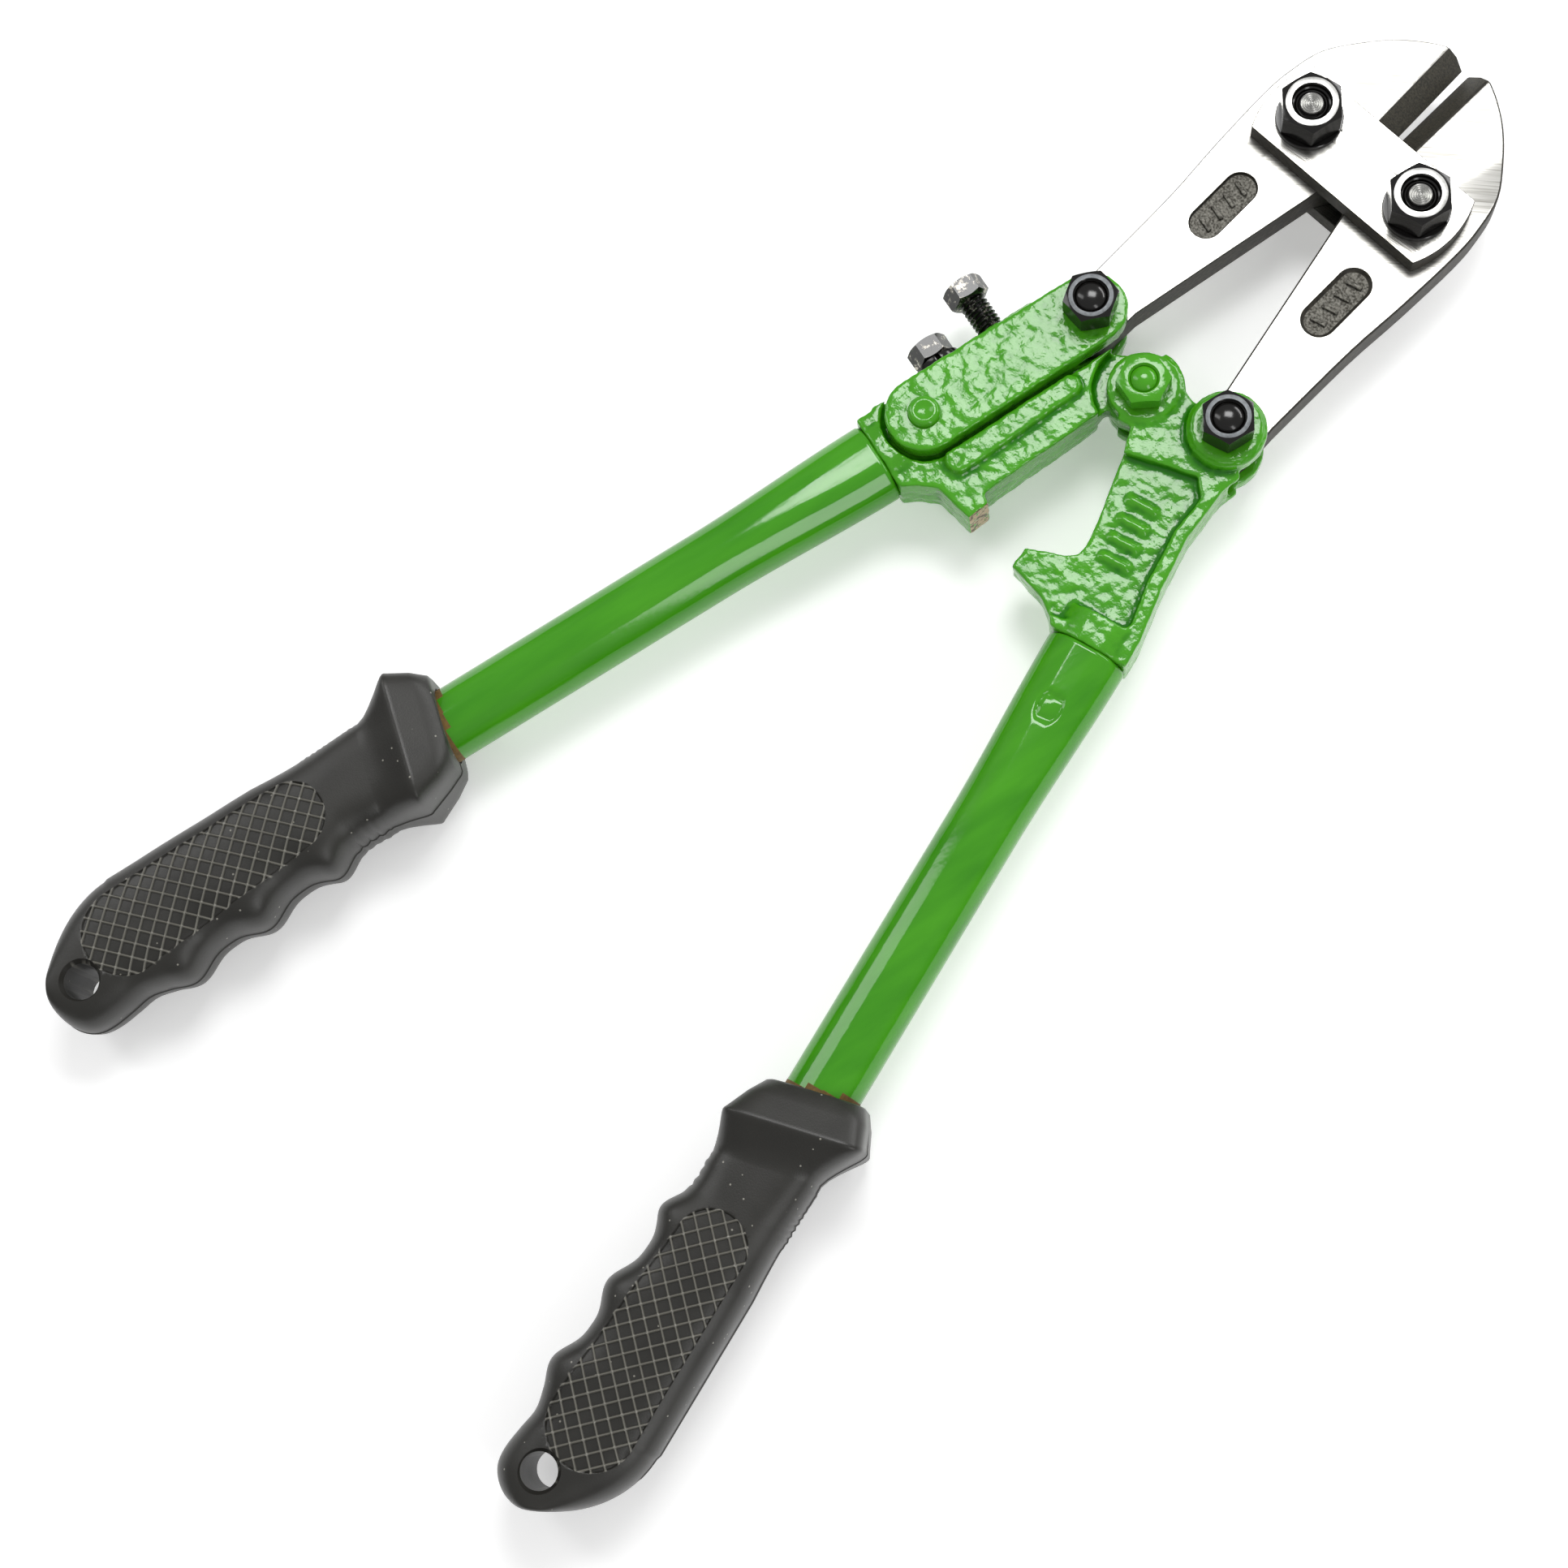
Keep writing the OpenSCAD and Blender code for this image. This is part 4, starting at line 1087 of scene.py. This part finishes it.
def hatch(bm):
    """Cuts the panel's outline and ribs into the grip and moves them to their heights."""
    bm.normal_update()
    for margin in (0.0, HATCH_EDGE):
        points = outline_points(margin)
        for a, b in zip(points, points[1:] + points[:1]):
            mid, span = (a + b) / 2, (b - a).length / 2 + 1.0
            faces = [f for f in bm.faces if abs(f.normal.z) > 0.2 and abs(f.calc_center_median().z) > 3
                     and (f.calc_center_median().xy - mid).length < span]
            run = b - a
            cut(bm, faces, (*mid, 0), (run.y, -run.x, 0))
    pitch = size("hatch_pitch")
    for way in (-1, 1):
        normal = Vector((1, way, 0)).normalized()
        reach = [normal.xy.dot(p) for p in outline_points(0)]
        for i in range(math.floor(min(reach) / pitch), math.ceil(max(reach) / pitch) + 1):
            for offset in (-RIB_HALF, 0, RIB_HALF):
                spot = i * pitch + offset
                faces = [f for f in panel_faces(bm, 0.6)
                         if abs(normal.dot(f.calc_center_median()) - spot) < 1.6]
                cut(bm, faces, normal * spot, normal)
    bm.normal_update()
    # Painted highlight: how near each point is to a rib's crest, which the grip's material paints lighter
    rib_highlight = bm.verts.layers.float.new("wear_and_rib_highlight")
    for vert in bm.verts:
        if abs(vert.co.z) > 4 and panel_distance(vert.co.x, vert.co.y) < 0:
            shift, rib = hatch_shift(vert.co)
            vert.co.z += math.copysign(1, vert.co.z) * shift
            vert[rib_highlight] = rib


PARTING, PARTING_H = 0.3, 0.22


def parting_line(bm):
    """Raises the thin line that the two halves of the mould leave along the grip's sides."""
    for height in (-PARTING, 0, PARTING):
        faces = [f for f in bm.faces if abs(f.calc_center_median().z) < 3]
        cut(bm, faces, (0, 0, height), (0, 0, 1))
    bm.normal_update()
    for vert in bm.verts:
        if abs(vert.co.z) < 1e-3 and vert.co.y < MOUTH - 1 and abs(vert.co.x) > 8:
            vert.co += Vector((vert.normal.x, vert.normal.y, 0)) * PARTING_H


def hang_hole():
    """Cutter for the hang hole, flared where it leaves the grip."""
    half = [(0, 13), (HOLE_R + 2.4, 13), (HOLE_R + 0.8, 10.2), (HOLE_R, 9)]
    rows = [(radius, -height) for radius, height in half] + half[::-1]
    bm = turned(rows, steps=64)
    bmesh.ops.transform(bm, matrix=Matrix.Translation((HOLE.x, HOLE.y, 0)), verts=bm.verts)
    bmesh.ops.recalc_face_normals(bm, faces=bm.faces)
    return to_object("hang_hole_cutter", bm)


class CUTTERS_OT_grips(bpy.types.Operator):
    """Two moulded grips: flange, thumb and finger ridges, hatched panels on both faces, and the hang hole"""

    bl_idname = "cutters.grips"
    bl_label = "Grips"

    def execute(self, context):
        bm = grip_skin()
        bmesh.ops.recalc_face_normals(bm, faces=bm.faces)
        parting_line(bm)
        hatch(bm)
        made = to_object("grip_shape", bm)
        cutter = hang_hole()
        hole = made.modifiers.new("Hang hole", "BOOLEAN")
        hole.object = cutter
        hole.solver = "EXACT"
        mesh = baked(made)
        bpy.data.objects.remove(cutter)
        for node, mirror in (("grip_b", Matrix.Identity(4)), ("grip_a", MIRROR)):
            bm = bmesh.new()
            bm.from_mesh(mesh)
            bmesh.ops.scale(bm, vec=(1 / MM,) * 3, verts=bm.verts)
            finish(node, bm, [shared(moulded_pvc)], mirror @ HANDLE, crease=33)
        bpy.data.objects.remove(made)
        return {"FINISHED"}


# ---- stage ----

LENS = 64.26
CAMERA_PLACE = (0.12981, -0.08126, 0.57254)
CAMERA_TURN = (0.213, 0.100, 0.787)


def softbox(name, place, aim, width, depth, power):
    light = bpy.data.lights.new(name, "AREA")
    light.shape = "RECTANGLE"
    light.size, light.size_y, light.energy = width, depth, power
    made = bpy.data.objects.new(name, light)
    made.location = place
    made.rotation_euler = (Vector(aim) - Vector(place)).to_track_quat("-Z", "Y").to_euler()
    bpy.context.scene.collection.objects.link(made)


class CUTTERS_OT_stage(bpy.types.Operator):
    """Pale floor, soft studio light and the camera"""

    bl_idname = "cutters.stage"
    bl_label = "Stage"

    def execute(self, context):
        bm = bmesh.new()
        bmesh.ops.create_grid(bm, x_segments=8, y_segments=8, size=3000)
        floor = to_object("floor", bm)
        floor.data.materials.append(shared(pale_floor))
        world = bpy.data.worlds.new("Studio")
        context.scene.world = world
        world.use_nodes = True
        sky = world.node_tree
        sky.nodes.clear()
        way = add(world, "TexCoord")
        up = add(world, "SeparateXYZ", {}, {0: way.outputs["Generated"]})
        band = add(world, "MapRange", {}, {"Value": up.outputs["Z"], "From Min": 0.05, "From Max": 0.45,
                                           "To Min": 0.12, "To Max": 0.42})
        back = add(world, "Background", {}, {"Color": (1, 1, 1, 1), "Strength": band.outputs[0]})
        add(world, "OutputWorld", {}, {"Surface": back.outputs[0]})
        softbox("key", (-0.22, 0.39, 0.9), (0, 0.08, 0), 0.4, 0.3, 4)
        softbox("front", (0.1, 0.75, 0.35), (0, -0.1, 0), 0.6, 0.16, 2)
        softbox("fill_left", (-0.8, -0.2, 0.7), (0, -0.05, 0), 0.25, 0.8, 2.2)
        softbox("fill_right", (0.8, -0.1, 0.6), (0, 0, 0), 0.2, 0.8, 2.2)
        camera = bpy.data.cameras.new("camera")
        camera.lens = LENS
        made = bpy.data.objects.new("camera", camera)
        made.location = CAMERA_PLACE
        made.rotation_euler = CAMERA_TURN
        context.scene.collection.objects.link(made)
        context.scene.camera = made
        context.scene.view_settings.view_transform = "Standard"
        return {"FINISHED"}


PIECES = (
    CUTTERS_OT_castings,
    CUTTERS_OT_link,
    CUTTERS_OT_jaws,
    CUTTERS_OT_plates,
    CUTTERS_OT_jaw_nuts,
    CUTTERS_OT_tail_nuts,
    CUTTERS_OT_screws,
    CUTTERS_OT_tubes,
    CUTTERS_OT_grips,
    CUTTERS_OT_stage,
)


class CUTTERS_PT_panel(bpy.types.Panel):
    """Sizes, colours and pieces of the bolt cutters"""

    bl_idname = "CUTTERS_PT_panel"
    bl_label = "Bolt cutters"
    bl_space_type = "VIEW_3D"
    bl_region_type = "UI"
    bl_category = "Bolt cutters"

    def draw(self, context):
        for group in (context.scene.cutter_colours, context.scene.cutter_sizes):
            for name in group.__annotations__:
                self.layout.prop(group, name)
        for piece in PIECES:
            self.layout.operator(piece.bl_idname)


CLASSES = (CutterColours, CutterSizes, *PIECES, CUTTERS_PT_panel)


def register():
    for cls in CLASSES:
        bpy.utils.register_class(cls)
    bpy.types.Scene.cutter_colours = PointerProperty(type=CutterColours)
    bpy.types.Scene.cutter_sizes = PointerProperty(type=CutterSizes)


def unregister():
    del bpy.types.Scene.cutter_sizes
    del bpy.types.Scene.cutter_colours
    for cls in reversed(CLASSES):
        bpy.utils.unregister_class(cls)


def main():
    register()
    for piece in PIECES:
        group, name = piece.bl_idname.split(".")
        getattr(getattr(bpy.ops, group), name)()


if __name__ == "__main__":
    main()
